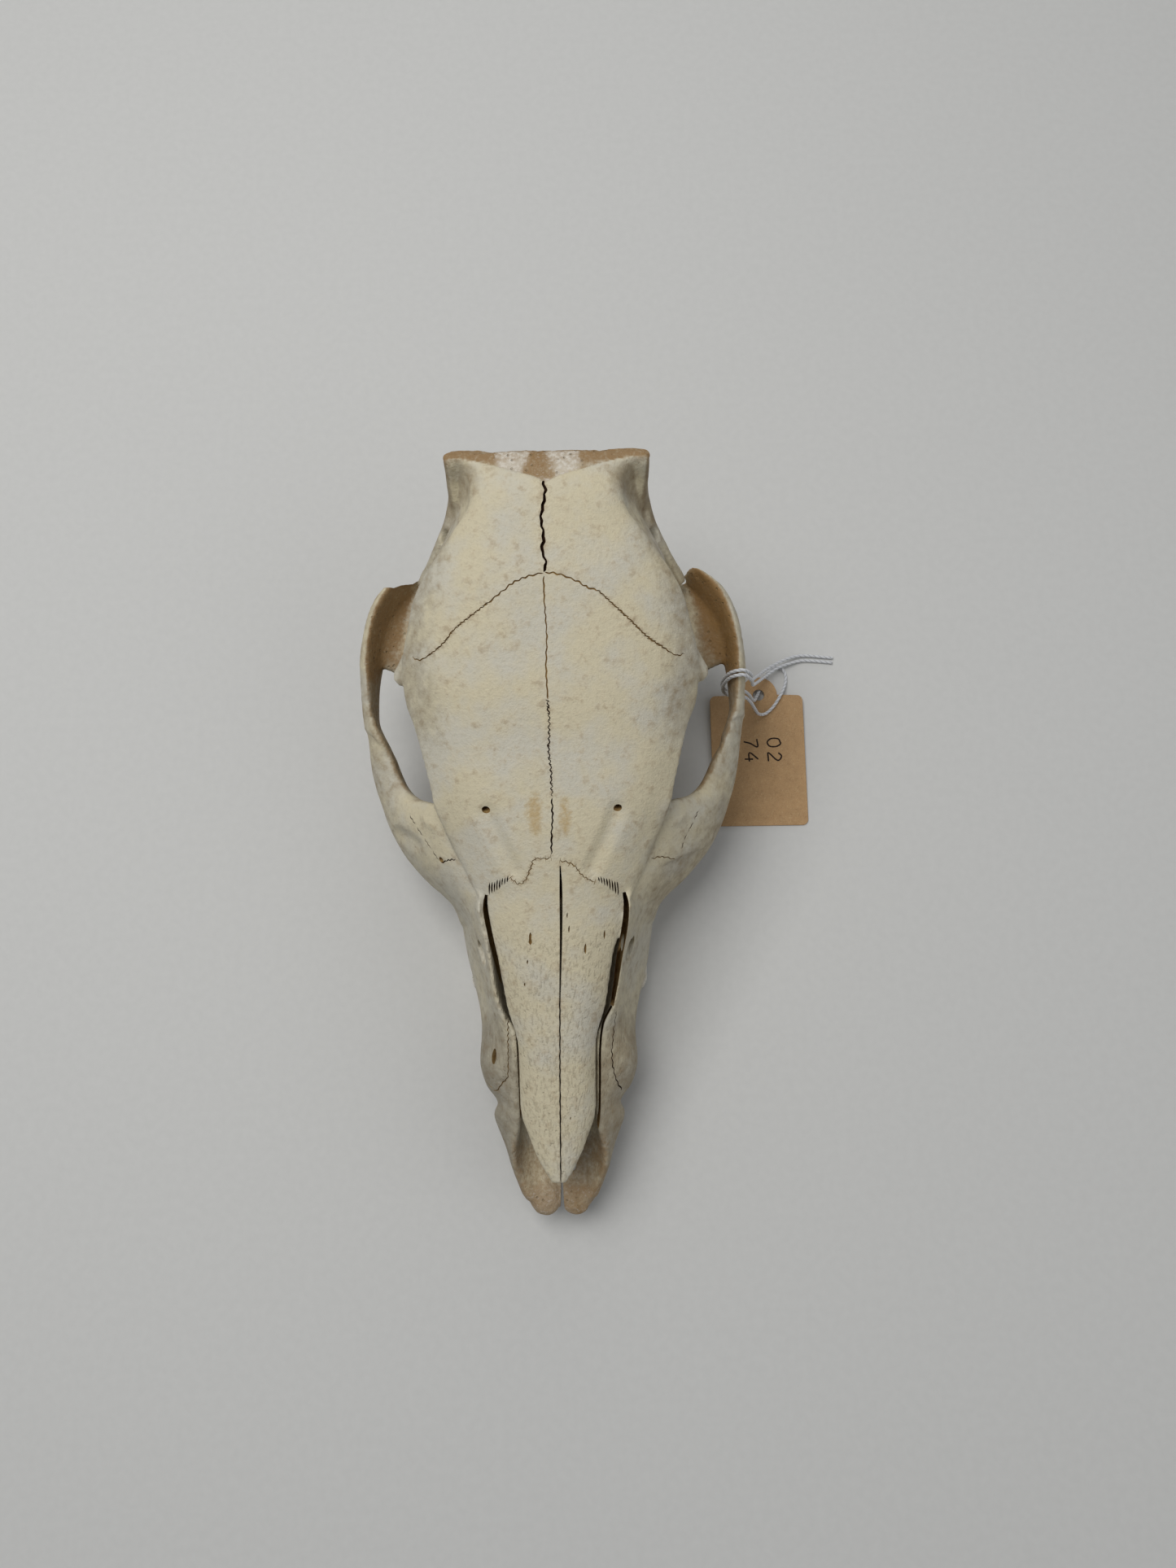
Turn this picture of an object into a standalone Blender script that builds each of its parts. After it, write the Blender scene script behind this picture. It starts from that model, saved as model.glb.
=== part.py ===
"""Feral piglet skull without its lower jaw, with a card tag tied to one cheek arch.

The snout points along -Y, the nuchal crest along +Y and +Z is up. The skull stands on its cheek
teeth and on the tips of its two jugular processes at z = 0. Stations are in millimetres.
"""

import math

import bmesh
import bpy
import numpy as np
from mathutils import Matrix, Vector

MM = 0.001
FUSE_VOXEL = 0.85
FACET_SHARE = 0.0192
SOCKET_GAP = 0.35

# Half sections of the brain case and the frontal roof. Each station is y, then (x, z) from the
# midline of the roof over the temporal line and down the wall to the midline of the base.
VAULT = [
    (98.2, [
        (0, 86.4), (9, 86.6), (17, 86.2), (22, 85.3), (24.2, 84),
        (24.4, 82.6), (23, 81.4), (17, 80.8), (9, 80.6), (0, 80.6),
    ]),
    (96.5, [
        (0, 87.4), (9, 87.4), (17, 86.8), (22, 85.6), (24.6, 83.6),
        (25, 80.6), (23.5, 77.2), (18, 75), (9, 74.6), (0, 74.6),
    ]),
    (92.5, [
        (0, 88.4), (9, 88), (16, 87), (19.8, 84.8), (21.6, 81),
        (23.6, 76), (25, 70), (22, 64), (12, 60.5), (0, 60),
    ]),
    (88, [
        (0, 89), (9, 88.6), (16, 87.4), (19.4, 84.8), (20.8, 80),
        (23.8, 73), (26.4, 64), (25, 54), (15, 48), (0, 47),
    ]),
    (83, [
        (0, 88.6), (9.5, 88.2), (16.6, 87), (20.2, 84.2), (21.8, 79),
        (26, 71), (29, 62), (27.5, 50), (16, 38), (0, 34),
    ]),
    (75, [
        (0, 87), (11.5, 86.4), (20.6, 84.6), (26, 81.2), (28, 76.5),
        (30.5, 69), (32, 60), (28, 49), (15, 37), (0, 33),
    ]),
    (65, [
        (0, 84.8), (14, 84.2), (25.5, 81.4), (33, 76.2), (34.8, 71.5),
        (33.5, 63), (30, 55), (25, 46), (13, 37), (0, 33),
    ]),
    (56, [
        (0, 82.2), (15, 81.6), (28, 78.4), (36, 72.4), (37.4, 67.5),
        (34, 60), (28.5, 52), (22.5, 45), (12, 38), (0, 35),
    ]),
    (48, [
        (0, 79.8), (15.5, 79.2), (29, 75.8), (37.6, 69), (39, 64.5),
        (33.5, 58.5), (25, 51.5), (19, 45), (10.5, 39), (0, 37),
    ]),
    (38, [
        (0, 76.8), (15, 76.2), (28, 73), (37, 65), (38.4, 60.4),
        (30, 57.5), (20, 53), (14.5, 46), (9, 40), (0, 38),
    ]),
    (31, [
        (0, 74.4), (14.5, 73.8), (26.5, 70.6), (34.6, 64.4), (36, 60.8),
        (28, 58.5), (17, 53), (12.5, 45), (8, 38), (0, 36),
    ]),
    (23, [
        (0, 71.4), (14, 70.8), (25, 68), (32.4, 63), (34, 60),
        (26, 58), (16, 52), (12, 44), (8, 34), (0, 31),
    ]),
    (16, [
        (0, 69.2), (13.5, 68.6), (23.5, 66), (30.8, 61), (32.4, 58),
        (25, 56), (16, 50), (12.5, 41), (9, 30), (0, 27),
    ]),
    (10, [
        (0, 67.2), (13, 66.6), (22.4, 64), (29.4, 59), (31.2, 55.6),
        (26, 52), (18, 47), (14, 38), (10, 27), (0, 24),
    ]),
    (3, [
        (0, 65), (12, 64.2), (20.4, 61.6), (26.4, 56.4), (28.2, 52),
        (26.5, 46), (21.5, 40), (17, 32), (12, 22), (0, 19),
    ]),
    (-4, [
        (0, 62.4), (10.5, 61.6), (17.6, 59), (23, 54.6), (25, 50),
        (25, 44), (23, 37), (18.5, 29), (12, 20), (0, 16),
    ]),
    (-10, [
        (0, 59.8), (9, 59), (15.5, 56.8), (20.2, 53.2), (22, 49),
        (23, 42), (22.5, 34), (18, 26), (11, 18), (0, 15),
    ]),
    (-13.5, [
        (0, 58), (8, 57.2), (14, 55), (18.2, 52), (19.8, 48),
        (20, 41), (19, 33), (15, 25), (9, 17), (0, 15),
    ]),
]

# Half sections of the snout, a trough that is open on top. Each station is y, then (x, z) from the
# midline of the palate round the tooth row, up the cheek to the rim, and down the inner wall.
SNOUT = [
    (8, [
        (0, 13), (9, 12.8), (14.5, 9.8), (19.5, 9.2), (22.5, 15), (20.5, 24),
        (17, 30), (14, 30), (11, 24), (8, 18), (0, 17),
    ]),
    (0, [
        (0, 12.6), (11, 12.2), (17, 7.8), (23.5, 7.8), (27.6, 17), (27, 30),
        (23, 42), (18, 42), (15, 30), (10, 18), (0, 16.6),
    ]),
    (-10, [
        (0, 12.5), (11, 12), (16.6, 6.4), (24.8, 6.4), (28.4, 18), (25.6, 37),
        (21, 50), (18.6, 50), (16.4, 38), (11, 18), (0, 16.5),
    ]),
    (-16, [
        (0, 12.3), (11, 12), (16.4, 6.2), (25.2, 6.4), (28, 18), (24.8, 36),
        (20.8, 51.6), (19.2, 51.6), (16.8, 37), (11, 18), (0, 16.3),
    ]),
    (-21, [
        (0, 12.2), (11, 12), (16.2, 6.2), (25.2, 6.4), (27.4, 17.5), (23.8, 34),
        (20, 49), (18.4, 49), (16, 35), (11, 18), (0, 16),
    ]),
    (-28, [
        (0, 12), (10.5, 12), (16, 6.2), (25, 6.6), (26, 17), (22.3, 31),
        (18.6, 45.4), (17, 45.4), (14.8, 32), (10.5, 17.5), (0, 16),
    ]),
    (-37, [
        (0, 12), (10, 12), (15.4, 6.4), (22.8, 6.8), (23.8, 16.5), (20.6, 28),
        (17.4, 41.4), (15.8, 41.4), (13.8, 29), (10, 17), (0, 15.5),
    ]),
    (-43, [
        (0, 12), (9.5, 12), (14.8, 6.8), (21.2, 7.2), (22.6, 17), (19.8, 27),
        (16, 38.4), (14.2, 38.4), (12.8, 27), (9.5, 17), (0, 15.5),
    ]),
    (-49, [
        (0, 12), (9, 12), (14, 7.6), (19.8, 8.2), (22.1, 18), (19.7, 27.5),
        (13.2, 37), (10.8, 37), (11, 26), (9, 17), (0, 15),
    ]),
    (-57, [
        (0, 12), (8.5, 12), (13, 9.4), (18.2, 11.2), (22.3, 20), (19.8, 28.2),
        (12.6, 34.4), (10.6, 34.4), (10.7, 25), (8.8, 17), (0, 15),
    ]),
    (-63, [
        (0, 12), (8, 12), (12.5, 10.8), (16.5, 14), (20.6, 20.5), (17.6, 27),
        (12.4, 32), (10.4, 32), (10.6, 24), (8.6, 16.5), (0, 14.5),
    ]),
    (-67.5, [
        (0, 12), (7.6, 12), (12, 11), (14.8, 13.5), (17.4, 19.5), (16, 25),
        (12.3, 30.4), (10.3, 30.4), (10.6, 23.5), (8.4, 16), (0, 14.3),
    ]),
    (-71, [
        (0, 12), (7.4, 12), (11.6, 10.8), (14.8, 12.5), (18.6, 18.5), (16.6, 23.6),
        (12.2, 29), (10.3, 29), (10.6, 23), (8.2, 16), (0, 14),
    ]),
    (-76, [
        (0, 12), (7, 12), (11, 10.5), (14, 12), (17, 17), (15.6, 21.3),
        (12.6, 26.3), (10.9, 26.3), (10.6, 21.5), (8, 15.8), (0, 14),
    ]),
    (-80.5, [
        (0, 11.8), (6.6, 11.8), (10.4, 10.4), (13, 12), (15.3, 16), (14.8, 19.6),
        (13.6, 23.4), (12.1, 23.6), (10.8, 19.8), (7.8, 15.4), (0, 13.8),
    ]),
    (-85.5, [
        (0, 11.5), (6, 11.5), (9.6, 10.2), (12, 11.6), (13.8, 15), (13.7, 18),
        (13.2, 20.4), (12.2, 20.6), (10.2, 17.6), (7, 14.6), (0, 13.4),
    ]),
    (-90, [
        (0, 11), (5.4, 11), (8.6, 9.8), (10.8, 11), (12.2, 13.6), (12.1, 15.8),
        (11.4, 17.6), (10.4, 17.8), (8.6, 16.2), (5.6, 14.2), (0, 13.2),
    ]),
    (-94, [
        (0, 10.6), (4.6, 10.4), (7.4, 9.6), (9.4, 10.6), (10.5, 12.8), (10.3, 14.6),
        (9.4, 15.8), (8.2, 16), (6.4, 15.2), (4, 14.4), (0, 13.8),
    ]),
    (-96.6, [
        (0, 10.8), (3.4, 10.4), (5.2, 10.2), (6.6, 10.8), (7.4, 12.2), (7.2, 13.4),
        (6.6, 14.3), (5.6, 14.5), (4.3, 14.4), (2.4, 14), (0, 13.4),
    ]),
]

# Half sections of the two nasal bones, a thin arched plate from the frontals to the pointed tip.
NASALS = [
    (3, [(0, 63), (8, 62), (13, 59), (12.5, 57), (7, 58.5), (0, 60)]),
    (-6, [(0, 61.3), (9, 60.2), (14.5, 57), (14, 55), (8, 57.6), (0, 58.8)]),
    (-12, [(0, 59), (9.6, 57.8), (17.2, 53.8), (16.7, 51.8), (9.2, 55.2), (0, 56.4)]),
    (-17, [(0, 57), (9.8, 55.8), (17.4, 51.8), (16.9, 49.8), (9.4, 53.2), (0, 54.4)]),
    (-23, [(0, 55), (9.4, 53.8), (16.5, 49.8), (16, 47.8), (9, 51.2), (0, 52.4)]),
    (-29, [(0, 53), (8.8, 51.8), (15, 47.9), (14.5, 45.9), (8.4, 49.2), (0, 50.4)]),
    (-36, [(0, 50.6), (8.2, 49.5), (13.9, 45.4), (13.4, 43.4), (7.8, 46.9), (0, 48)]),
    (-43, [(0, 48), (7.6, 46.9), (12.6, 42.6), (12.1, 40.6), (7.2, 44.2), (0, 45.4)]),
    (-50, [(0, 45.6), (6.8, 44.6), (10.6, 40.6), (10.1, 38.6), (6.4, 42), (0, 43)]),
    (-57, [(0, 43.2), (6.5, 42.2), (10.2, 38), (9.7, 36), (6.1, 39.6), (0, 40.6)]),
    (-64, [(0, 40.8), (6.4, 39.8), (10.1, 35.8), (9.6, 33.8), (6, 37.2), (0, 38.2)]),
    (-70.5, [(0, 38.6), (6.2, 37.7), (9.8, 34.2), (9.3, 32.2), (5.8, 35.1), (0, 36)]),
    (-75.5, [(0, 37), (5.2, 36.2), (8.1, 33.7), (7.7, 31.7), (5, 33.6), (0, 34.3)]),
    (-80.5, [(0, 35.5), (3.9, 34.9), (6.2, 33.3), (5.9, 31.5), (3.8, 32.4), (0, 32.9)]),
    (-85.5, [(0, 34.1), (2.4, 33.7), (3.8, 32.7), (3.6, 31.3), (2.4, 31.4), (0, 31.6)]),
    (-88.6, [(0, 33), (1, 32.8), (1.7, 32.4), (1.6, 31.4), (1, 31.2), (0, 31.2)]),
]

# Whole sections of the right cheek arch. Each station is y, then (x, z) from its upper rim down the
# outer face, and up the inner face again.
CHEEK_ARCH = [
    (-18, [
        (20, 46), (23, 40), (25.5, 33), (27.8, 24), (26.5, 16),
        (22, 13), (17, 18), (15, 28), (16, 38), (17.5, 44),
    ]),
    (-12, [
        (21, 49.5), (25, 44), (28.6, 36), (30.3, 26), (29.6, 18),
        (25, 13.5), (18, 18), (15, 28), (16, 38), (18, 46),
    ]),
    (-5, [
        (24, 50.5), (29, 45.5), (34, 38), (37.4, 29), (37.2, 20.5),
        (33, 15), (24, 17), (18, 28), (18, 38), (21, 47),
    ]),
    (2, [
        (27, 51.5), (33, 46.5), (39.4, 38.5), (43.4, 29), (43.2, 20.5),
        (39, 15.5), (29, 17.5), (22, 28), (22, 39), (25, 48),
    ]),
    (8, [
        (29.5, 52.5), (35.5, 47.5), (42.4, 39.5), (46.9, 29.5), (46.7, 21.5),
        (43, 16), (35, 18.5), (28, 27), (26, 38), (28, 48),
    ]),
    (12, [
        (31.5, 51.5), (37, 46.5), (44, 39), (48.8, 29.5), (48.5, 21.8),
        (45.4, 16.3), (38.5, 19.5), (34, 27), (31.5, 38), (30.5, 47),
    ]),
    (16, [
        (38.6, 42), (42, 41.5), (47, 37), (50.2, 29.8), (49.9, 22.2),
        (47, 17), (42, 20), (38.6, 27), (37.5, 34), (37.6, 39),
    ]),
    (20, [
        (42.4, 40), (45.4, 39.5), (49.2, 36), (51.6, 30.2), (51.3, 23),
        (49, 17.6), (45.4, 20.8), (42.8, 27.5), (41.6, 33), (41.6, 37.5),
    ]),
    (26, [
        (45.6, 40.6), (48.4, 40), (51.4, 36.4), (53, 31), (52.7, 24.4),
        (50.8, 19), (48, 22.4), (45.6, 28.6), (44.6, 33.5), (44.7, 38),
    ]),
    (33, [
        (48.8, 43), (51, 41.6), (53, 38), (53.9, 33), (53.7, 26.6),
        (52, 21), (49.8, 24.8), (48.2, 31), (47.8, 36), (47.9, 40.5),
    ]),
    (40, [
        (51.4, 44.8), (53, 43.4), (54.2, 40.4), (54.8, 36), (54.6, 30),
        (53.4, 25), (51.8, 28), (50.8, 33), (50.4, 37.5), (50.6, 42),
    ]),
    (48, [
        (52, 47.6), (53.5, 46.4), (54.6, 43.4), (55, 39), (54.7, 34),
        (53.4, 30), (51.6, 32), (50.5, 36), (50.3, 40.5), (50.8, 45),
    ]),
    (56, [
        (51.8, 50.6), (53.5, 49.4), (54.5, 46), (54.7, 42), (54.3, 37),
        (53, 33.4), (50.6, 35), (49.2, 38), (49.2, 42.5), (50.4, 47.6),
    ]),
    (65, [
        (49.8, 53), (51.6, 52), (52.8, 48.4), (52.9, 44), (52.4, 38.4),
        (50.5, 35), (47.8, 36.2), (46.2, 38.6), (46.8, 43), (48.4, 49.6),
    ]),
    (71, [
        (47.4, 53.6), (49.3, 52.6), (50.6, 49), (50.8, 44.6), (50.2, 39.4),
        (48.1, 36.2), (45.2, 37.6), (43.4, 40), (44.2, 44), (45.9, 50.4),
    ]),
    (75.2, [
        (44.9, 53.2), (46.6, 52.2), (47.6, 49), (47.7, 45), (47, 40.8),
        (45.1, 38.2), (42.6, 39), (41.2, 41), (41.9, 44.8), (43.5, 50.3),
    ]),
    (78.4, [
        (42, 52), (43.3, 51.2), (44.1, 48.4), (44.1, 45.2), (43.5, 42.2),
        (42, 40.6), (40.1, 41), (39.1, 42.4), (39.5, 45), (40.8, 49.4),
    ]),
    (80.4, [
        (39.8, 50.4), (40.7, 49.8), (41.2, 47.8), (41.2, 45.7), (40.8, 43.8),
        (39.8, 42.8), (38.5, 43), (37.8, 43.9), (38, 45.6), (38.9, 48.6),
    ]),
]

# Limbs on the right side, mirrored to the left. Each station is x, y, z, half width, half depth:
# the width lies level across the path, and the depth is square to both.
SQUAMOSAL_SHELF = [
    (20, 66, 52, 12.6, 5), (29, 65.6, 47, 13.4, 4.2), (35, 65.2, 42.6, 13.6, 3.2),
    (40.6, 65.4, 40.2, 13.6, 2.8), (45.4, 66, 40.8, 12.6, 2.8), (48.8, 66.8, 43.4, 11, 2.6),
    (50.4, 67.4, 46, 9, 2),
]
TEMPORAL_CREST = [
    (36, 77, 47, 2.4, 3.4), (32, 82, 53, 2, 4), (27.6, 88, 60, 2, 5), (25.6, 93.5, 66, 1.8, 5.4),
    (25.2, 96.4, 72, 1.7, 4.4),
]
CREST_WING = [
    (14, 96.6, 83.5, 2.4, 2.4), (20, 97, 84.2, 2.2, 2.2),
    (24.6, 97.2, 84.2, 1.9, 2), (26.6, 96.8, 83.6, 1.2, 1.6),
]
WING_EDGE = [
    (25, 96.2, 84, 1.9, 1.6), (24.8, 95, 78, 2, 2.4), (24.6, 92, 70, 2.2, 3.2), (24, 89, 60, 2.6, 4),
    (22.6, 85.6, 50, 3.4, 5),
]
BROW_KNOB = [
    (30, 48, 66, 8, 3.4), (35.6, 47, 64, 6.4, 3.2), (38.6, 46, 62.2, 4.2, 2.7), (41.4, 45, 60.4, 2, 1.8),
]
LACRIMAL = [(28, 5, 49, 2.6, 2.6), (33.2, 8.4, 47.4, 2.4, 2.2), (36, 10.4, 45.4, 1.5, 1.5)]
JUGULAR_PROCESS = [
    (20, 84, 52, 5.6, 4), (21.4, 81, 40, 4.8, 3.4), (21.6, 78, 26, 3.4, 2.6), (20.8, 75.6, 12, 2.6, 2.1),
    (20.2, 74.4, 3, 2.2, 1.9), (20, 74, -3, 1.9, 1.7),
]
BULLA = [
    (14.5, 66, 40, 6.5, 8.5), (15, 64.5, 31, 6, 7.6), (15, 62.5, 23, 4.2, 5), (14.6, 60.6, 16.5, 1.9, 2.2),
]
CONDYLE = [
    (3.4, 80, 33.6, 3.6, 2.6), (7.4, 85.4, 34.4, 4.4, 3.6),
    (10.6, 87.4, 39, 4.2, 4), (10.8, 86.6, 44.6, 3, 3.2),
]
PTERYGOID = [
    (9, 2, 17, 2.2, 5), (9.4, 12, 20, 1.7, 8), (9.2, 22, 23, 1.5, 9.5), (9, 31, 26, 1.6, 9),
    (9.4, 38, 30, 2.4, 7),
]
HAMULUS = [(9, 27, 17, 1.3, 2.6), (9.4, 31, 13.4, 1.2, 1.6), (10.4, 34, 10.6, 0.9, 1.1)]
PARIETAL_BASE = [(16, 46, 46, 8, 5), (20, 58, 44, 9, 7), (21, 70, 44, 8, 7)]

# Limbs on the midline.
BASE_BAR = [
    (0, 20, 30, 5, 4), (0, 34, 35, 7, 4), (0, 50, 34.5, 8, 4.4), (0, 66, 33, 8.6, 4),
    (0, 82, 33, 10, 3.4),
]
VOMER = [
    (0, 24, 24, 1.4, 6), (0, 8, 19, 1.4, 5), (0, -20, 19.5, 1.2, 4.6), (0, -60, 18, 1.1, 3.6),
    (0, -84, 15, 1, 1.6),
]
PALATE_REAR = [(0, -8, 14.4, 15, 2.1), (0, 4, 14.6, 13, 2), (0, 13, 15, 9.6, 1.6)]

INCISIVE_LOBE = ((4.3, -94, 12.7), (4.7, 5.6, 2.9))

# Cutters. Limbs as above, and balls as centre, half axes and turn about Z in degrees.
INFRAORBITAL = [
    (17.4, -18, 37, 2, 2), (19.4, -24, 39, 2, 2.8), (20.4, -28.4, 40, 2.1, 3.6), (23, -32, 39, 1.8, 2.6),
]
LACRIMAL_HOLLOW = ((36.9, 2, 55.4), (8, 9.5, 8), 0)
SUPRAORBITAL = [(16.3, 4.2, 67.4, 1.1, 0.9), (17, 7.6, 64.8, 1.1, 1), (18, 11, 61, 0.9, 0.8)]
BROW_GROOVE = [
    (17, 7, 66.6, 1, 0.8), (14.2, 0, 65.2, 1.8, 1.1), (10.6, -6, 62.6, 2, 1.1), (8.4, -12, 59.6, 1.4, 0.7),
]
EAR_CANAL = [(18, 80, 52, 1.8, 1.8), (27, 83.4, 62, 2, 2), (33, 86, 69, 2.2, 2.2)]
CANINE_SOCKET = [(12, -62, 20, 1.5, 1.5), (17.2, -68.4, 17.6, 1.7, 1.8), (21, -72, 15.8, 1.8, 1.9)]
FORAMEN_MAGNUM = [
    (0, 97, 47, 8, 7), (0, 88, 45.4, 7.8, 6.6), (0, 80, 46, 8, 7), (0, 70, 51, 14, 11),
    (0, 56, 58, 19, 13), (0, 44, 62, 14, 8), (0, 38, 63, 6, 4),
]
PALATINE_FISSURE = ((3.4, -83, 12), (1.1, 5, 4), 4)
INCISOR_SOCKETS = [
    ((3.6, -96.4, 9.6), (1.7, 1.9, 3), 0),
    ((7.6, -92.6, 9.2), (1.5, 2, 3), 30),
    ((10.4, -84.6, 9.6), (1.1, 1.9, 2.6), 14),
]
CANINE_WINDOW = [
    (-14, -54.2, 26.6, 0.9, 2.6), (-17.2, -55, 30.2, 1, 2.7), (-20.6, -56, 34.4, 1.1, 2.8),
]
OCCIPUT_HOLLOW = ((11, 105.4, 67), (9, 13.5, 17), 0)
# What has broken off behind the left shelf: its plan, then heights with the shift in y of the plan.
LEFT_BREAK = [
    (-60, 78.6), (-49.5, 78), (-47, 77.3), (-44.4, 77.3), (-42.6, 78.4), (-40, 79.2), (-38, 80.8),
    (-37.4, 92), (-60, 92),
]
LEFT_BREAK_SHIFTS = ((30, 2.8), (41, 0), (60, -4.8))
# The slots beside the nasal bones, the seam between them and the seams of the roof.
SLOT_RIGHT = [
    (18.6, -12.4, 52.5, 0.45, 6), (19.2, -16, 51, 0.75, 7),
    (18.7, -21.5, 49, 0.85, 7), (17.2, -29, 46, 0.85, 7),
    (16.1, -36, 42.5, 0.7, 7), (15, -42, 40, 0.5, 6),
]
SLOT_LEFT = [
    (-17.9, -12.4, 52.5, 0.4, 6), (-18.3, -16, 51, 0.7, 7),
    (-17.5, -21.5, 48.5, 0.75, 7), (-16, -29, 45.5, 0.75, 7),
    (-14.7, -36, 42.5, 0.65, 7), (-13.4, -42, 40, 0.5, 6),
]
SLOT_FRONT_RIGHT = [
    (14.9, -42, 40, 0.3, 5), (12.6, -46.5, 38.6, 0.3, 4.6), (11.7, -53, 36.4, 0.3, 4.4),
    (11.5, -62, 33.6, 0.3, 4), (11.2, -70, 31.4, 0.35, 4), (10.2, -77, 30, 0.8, 4),
]
SLOT_FRONT_LEFT = [
    (-13.3, -42, 40, 0.3, 5), (-11.3, -46.5, 38.6, 0.3, 4.6), (-10.7, -53, 36.4, 0.3, 4.4),
    (-10.5, -62, 33.6, 0.3, 4), (-10.3, -70, 31.4, 0.35, 4), (-9.4, -77, 30, 0.8, 4),
]
NASAL_SEAM = [
    (1.9, -5.5, 57, 0.25, 7), (2, -12, 55.5, 0.6, 6), (1.8, -24, 52, 0.5, 6), (1.2, -40, 46.5, 0.3, 5),
]
TIP_SLIT = [
    (0.4, -101, 13, 1.6, 6), (0.4, -97.6, 13, 0.9, 6), (0.35, -94, 13, 0.6, 6), (0.3, -89.5, 13, 0.4, 5),
]
SAGITTAL_SEAM = [
    (-0.7, 90, 89.4, 0.5, 2), (-0.5, 82, 88.4, 0.4, 2.2),
    (-1.2, 74, 86.8, 0.35, 2.2), (-1, 65, 84.8, 0.3, 1.6),
]
PARIETAL_EDGE = [
    (-20.4, 95, 85, 0.5, 0.8), (-14, 93.4, 87.6, 0.5, 0.9), (-6, 91, 88.9, 0.5, 1), (-0.7, 88, 89.2, 0.5, 1),
    (6, 90.8, 88.9, 0.5, 1), (14, 93.2, 87.6, 0.5, 0.9), (20.4, 95, 85, 0.5, 0.8),
]

# Right cheek teeth, front to back: name, x, y, half width, half length.
CHEEK_TEETH = [
    ("premolar_2", 17.0, -50.8, 2.2, 3.7),
    ("premolar_3", 18.9, -42.0, 3.1, 4.2),
    ("premolar_4", 21.8, -30.8, 4.7, 6.0),
    ("molar_1", 22.0, -17.2, 5.1, 6.4),
]
# Share of the half sizes at each height of a cheek tooth, from the worn cusps up to the root.
TOOTH_OUTLINE = [(0, 0.6), (0.7, 0.82), (2.6, 1), (4.6, 0.95), (6.4, 0.8), (10, 0.64), (12.6, 0.46)]

# The card tag lies under the right arch. Its tab is propped up by the string that runs under it.
TAG_LEFT = 48.9
TAG_RIGHT = 78.5
TAG_FOOT = 13.9
TAG_HEAD = 55.9
TAG_CORNER_RADIUS = 1.8
TAG_TAB_CENTRE = (64.5, 56.0)
TAG_TAB_RADIUS = 5.9
TAG_HOLE_RADIUS = 1.8
TAG_THICKNESS = 0.5
TAG_LIFT = math.atan(0.036)

# The string: from one cut end up to the arch, once round it, down through the hole of the tag, in a
# ring over the card, up to the arch and round it again, and out to the other cut end.
STRING_DIAMETER = 1.0
STRING_ROUTE = [
    (89.2, 68.5, 0.6), (85.2, 68.9, 0.6), (81, 69.3, 0.7), (77.2, 69, 1.2), (73.6, 67.6, 2.4),
    (70, 65.6, 3.8), (66.2, 62.9, 6), (62.2, 58.5, 13), (59, 53.9, 25), (57.2, 51, 37.5),
    (56.1, 49.7, 44.9), (53.4, 49.5, 49.6), (50.3, 49.5, 47.8), (48.9, 49.6, 41.6), (49.1, 49.7, 34.6),
    (50.9, 49.8, 29.6), (53.6, 49.9, 28.2), (56.2, 50.2, 26.8), (58.6, 50.8, 21), (60.8, 51.8, 12.5),
    (62.6, 53.2, 5.6), (63.5, 54.8, 3.5), (64.3, 56.2, 1.8), (65.3, 58.4, 0.65), (66.6, 61.4, 0.6),
    (68.4, 64.2, 0.6), (70.4, 65.6, 0.65), (72.6, 65, 0.7), (73.6, 62.8, 0.8), (73.2, 59.6, 1.5),
    (71.6, 56, 2.9), (69.2, 52.2, 2.8), (66.4, 49.6, 3), (63.8, 48.7, 5.6), (61.6, 48.5, 12.5),
    (59.2, 48.4, 20.6), (56.6, 48.4, 26.4), (53.8, 48.4, 27.9), (51, 48.4, 29.2), (49.2, 48.4, 34.4),
    (49, 48.3, 41.4), (50.3, 48.2, 47.5), (53.4, 48.2, 49.3), (56.1, 48.3, 44.6), (57.6, 49.8, 37),
    (59.6, 52.7, 24.4), (62.8, 57.2, 12.2), (66.8, 61.5, 5), (70.6, 64.5, 3), (74.4, 66.3, 1.6),
    (78.8, 67.6, 0.7), (83.2, 67.5, 0.6), (88.9, 66.9, 0.6),
]
STRING_POINTS = 80


def smooth_rows(rows, steps, closed=False):
    """Rows of numbers on a Catmull-Rom curve through the given rows, with this many steps a span."""
    rows = np.array(rows, float)
    if closed:
        ends = rows[-1:], rows, rows[:2]
    else:
        ends = 2 * rows[:1] - rows[1:2], rows, 2 * rows[-1:] - rows[-2:-1]
    padded = np.concatenate(ends)
    made = []
    for a, b, c, d in zip(padded, padded[1:], padded[2:], padded[3:]):
        for t in np.arange(steps) / steps:
            curved = (2 * a - 5 * b + 4 * c - d) * t**2 + (3 * b - a - 3 * c + d) * t**3
            made.append(0.5 * (2 * b + (c - a) * t + curved))
    return np.array(made if closed else [*made, rows[-1]])


def skin(mesh, rings):
    """Joins closed rings of points in millimetres with faces and caps both ends."""
    loops = []
    for ring in rings:
        corners = [mesh.verts.new(Vector(point) * MM) for point in ring]
        loops.append([mesh.edges.new(pair) for pair in zip(corners, corners[1:] + corners[:1])])
    for near, far in zip(loops, loops[1:]):
        bmesh.ops.bridge_loops(mesh, edges=near + far)
    for loop in (loops[0], loops[-1]):
        bmesh.ops.edgeloop_fill(mesh, edges=loop)


def section_rings(stations, along, around, mirrored=True, side=1):
    """Rings in planes of constant y: half sections mirrored at x = 0, or whole sections on one side."""
    rows = []
    for y, points in stations:
        whole = list(points)
        if mirrored:
            whole += [(-x, z) for x, z in reversed(points) if x > 0]
        rows.append([(side * x, y, z) for x, z in whole])
    return [smooth_rows(ring, around, closed=True) for ring in smooth_rows(rows, along)]


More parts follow.
